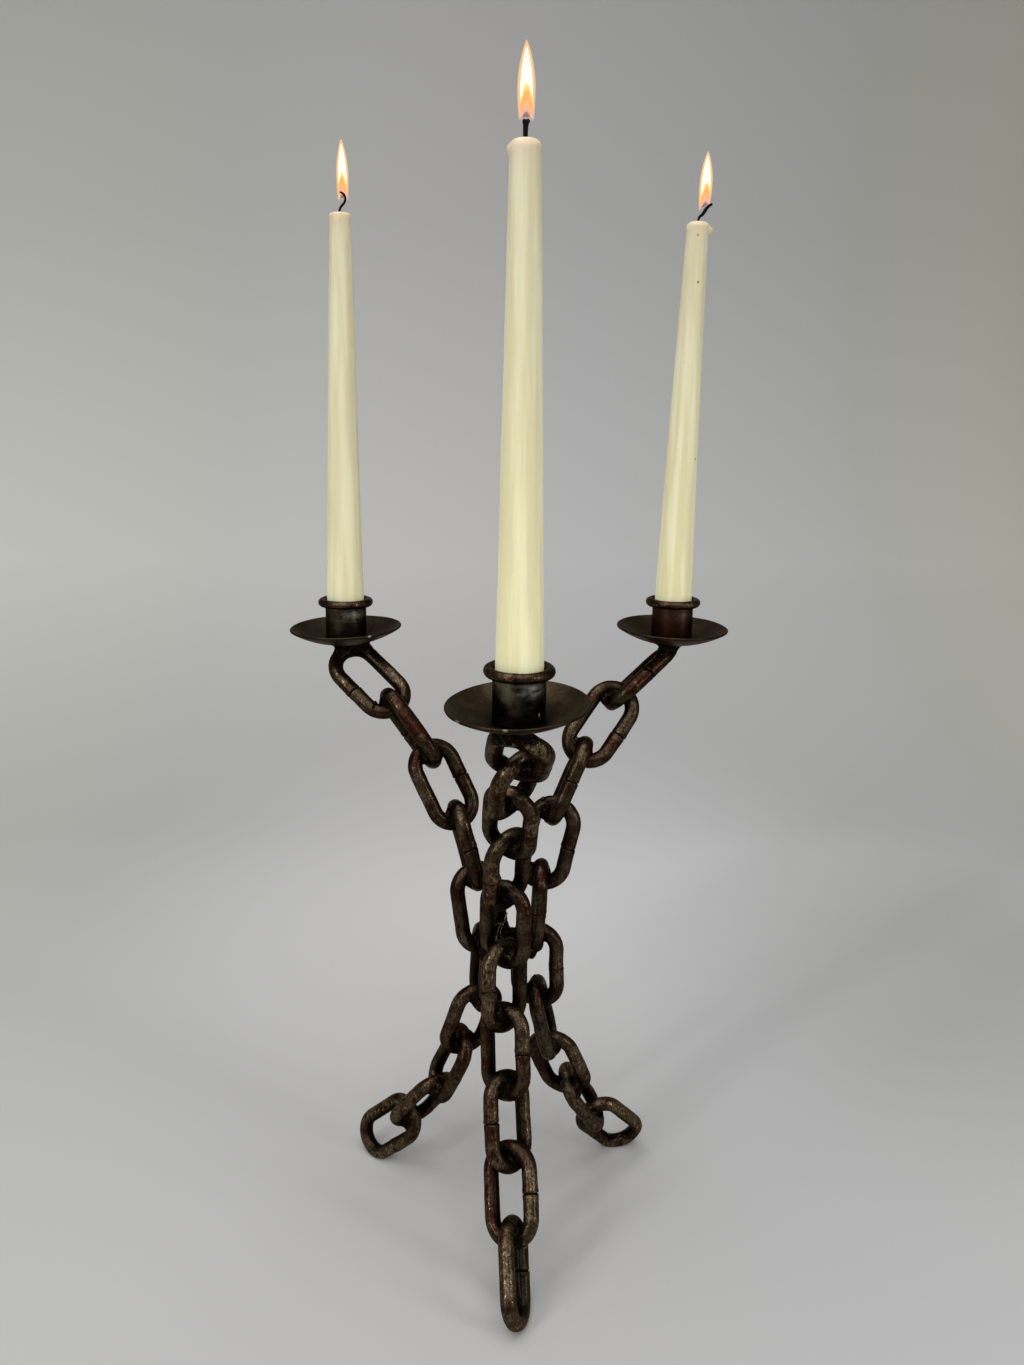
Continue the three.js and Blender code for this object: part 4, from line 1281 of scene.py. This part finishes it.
def light_stage():
    stage = settings().stage
    target = (0, 0, 0.3)
    add_softbox("top_softbox", (-0.2, -0.3, 2.2), (0, 0, 0), 2.0, 2.0, stage.top_power)
    add_softbox("left_strip", (-1.2, -1.1, 1.1), target, 0.12, 1.3, stage.left_power)
    add_softbox("right_strip", (1.4, -0.9, 0.9), target, 0.2, 1.3, stage.right_power)
    add_softbox("front_softbox", (-0.1, -1.6, 1.5), target, 1.5, 0.9, stage.front_power)
    world = bpy.data.worlds.new("studio_surround")
    world.use_nodes = True
    world.node_tree.nodes.clear()
    glow = add_node(world.node_tree, "ShaderNodeBackground", {"Color": linear("#F4F4F4"), "Strength": stage.sky})
    add_node(world.node_tree, "ShaderNodeOutputWorld", {"Surface": glow.outputs[0]})
    bpy.context.scene.world = world
    bpy.context.scene.view_settings.view_transform = "Standard"


def place_camera():
    stage = settings().stage
    camera = bpy.data.cameras.new("studio_camera")
    camera.sensor_width = 36
    camera.lens = stage.lens
    camera.clip_start = 0.01
    holder = bpy.data.objects.new("studio_camera", camera)
    holder.matrix_world = (
        Matrix.Translation(stage.eye)
        @ Matrix.Rotation(-stage.yaw, 4, "Z")
        @ Matrix.Rotation(math.pi / 2 - stage.pitch, 4, "X")
        @ Matrix.Rotation(-stage.roll, 4, "Z")
    )
    bpy.context.scene.collection.objects.link(holder)
    bpy.context.scene.camera = holder


# Operators


class CANDELABRA_OT_stage(Operator):
    """Set out the pale paper sweep, the soft lights and the camera"""

    bl_idname = "candelabra.stage"
    bl_label = "Stage"

    def execute(self, context):
        make_sweep()
        light_stage()
        place_camera()
        return {"FINISHED"}


class CANDELABRA_OT_links(Operator):
    """Bend the thirty chain links, with their butt seams and rubbed patina"""

    bl_idname = "candelabra.links"
    bl_label = "Chain links"

    def execute(self, context):
        make_links()
        return {"FINISHED"}


class CANDELABRA_OT_crossing_beads(Operator):
    """Lay the weld bead at each crossing of two links"""

    bl_idname = "candelabra.crossing_beads"
    bl_label = "Crossing beads"

    def execute(self, context):
        make_crossing_beads()
        return {"FINISHED"}


class CANDELABRA_OT_waist_welds(Operator):
    """Build up the lumpy welds that tie the chains at the waist"""

    bl_idname = "candelabra.waist_welds"
    bl_label = "Waist welds"

    def execute(self, context):
        make_waist_welds()
        make_strands()
        return {"FINISHED"}


class CANDELABRA_OT_pan_welds(Operator):
    """Flare the weld between each top link and its pan"""

    bl_idname = "candelabra.pan_welds"
    bl_label = "Pan welds"

    def execute(self, context):
        make_pan_welds()
        return {"FINISHED"}


class CANDELABRA_OT_drip_pans(Operator):
    """Press the shallow drip pans, with wavering nicked rims"""

    bl_idname = "candelabra.drip_pans"
    bl_label = "Drip pans"

    def execute(self, context):
        make_drip_pans()
        return {"FINISHED"}


class CANDELABRA_OT_sockets(Operator):
    """Stand a thin blackened tube on each pan"""

    bl_idname = "candelabra.sockets"
    bl_label = "Sockets"

    def execute(self, context):
        make_sockets()
        return {"FINISHED"}


class CANDELABRA_OT_collars(Operator):
    """Roll the ring on each socket's mouth"""

    bl_idname = "candelabra.collars"
    bl_label = "Collars"

    def execute(self, context):
        make_collars()
        return {"FINISHED"}


class CANDELABRA_OT_candles(Operator):
    """Dip the cream taper candles"""

    bl_idname = "candelabra.candles"
    bl_label = "Candles"

    def execute(self, context):
        make_candles()
        return {"FINISHED"}


class CANDELABRA_OT_wicks(Operator):
    """Curl the burnt wicks"""

    bl_idname = "candelabra.wicks"
    bl_label = "Wicks"

    def execute(self, context):
        make_wicks()
        return {"FINISHED"}


class CANDELABRA_OT_flames(Operator):
    """Light the candles"""

    bl_idname = "candelabra.flames"
    bl_label = "Flames"

    def execute(self, context):
        make_flames()
        return {"FINISHED"}


OPERATORS = (
    CANDELABRA_OT_stage,
    CANDELABRA_OT_links,
    CANDELABRA_OT_crossing_beads,
    CANDELABRA_OT_waist_welds,
    CANDELABRA_OT_pan_welds,
    CANDELABRA_OT_drip_pans,
    CANDELABRA_OT_sockets,
    CANDELABRA_OT_collars,
    CANDELABRA_OT_candles,
    CANDELABRA_OT_wicks,
    CANDELABRA_OT_flames,
)


class CANDELABRA_PT_panel(Panel):
    bl_label = "Candelabra"
    bl_space_type = "VIEW_3D"
    bl_region_type = "UI"
    bl_category = "Candelabra"

    def draw(self, context):
        groups = context.scene.candelabra
        for label in ("chain", "weld", "cup", "candle", "stage"):
            box = self.layout.box()
            box.label(text=label.capitalize())
            group = getattr(groups, label)
            for key in group.__annotations__:
                box.prop(group, key)
        for operator in OPERATORS:
            self.layout.operator(operator.bl_idname)


CLASSES = (
    CandelabraChainSettings,
    CandelabraWeldSettings,
    CandelabraCupSettings,
    CandelabraCandleSettings,
    CandelabraStageSettings,
    CandelabraSettings,
    *OPERATORS,
    CANDELABRA_PT_panel,
)


def register():
    for cls in CLASSES:
        bpy.utils.register_class(cls)
    bpy.types.Scene.candelabra = PointerProperty(type=CandelabraSettings)


def unregister():
    del bpy.types.Scene.candelabra
    for cls in reversed(CLASSES):
        bpy.utils.unregister_class(cls)


def main():
    register()
    for operator in OPERATORS:
        getattr(bpy.ops.candelabra, operator.bl_idname.split(".")[1])()


if __name__ == "__main__":
    main()
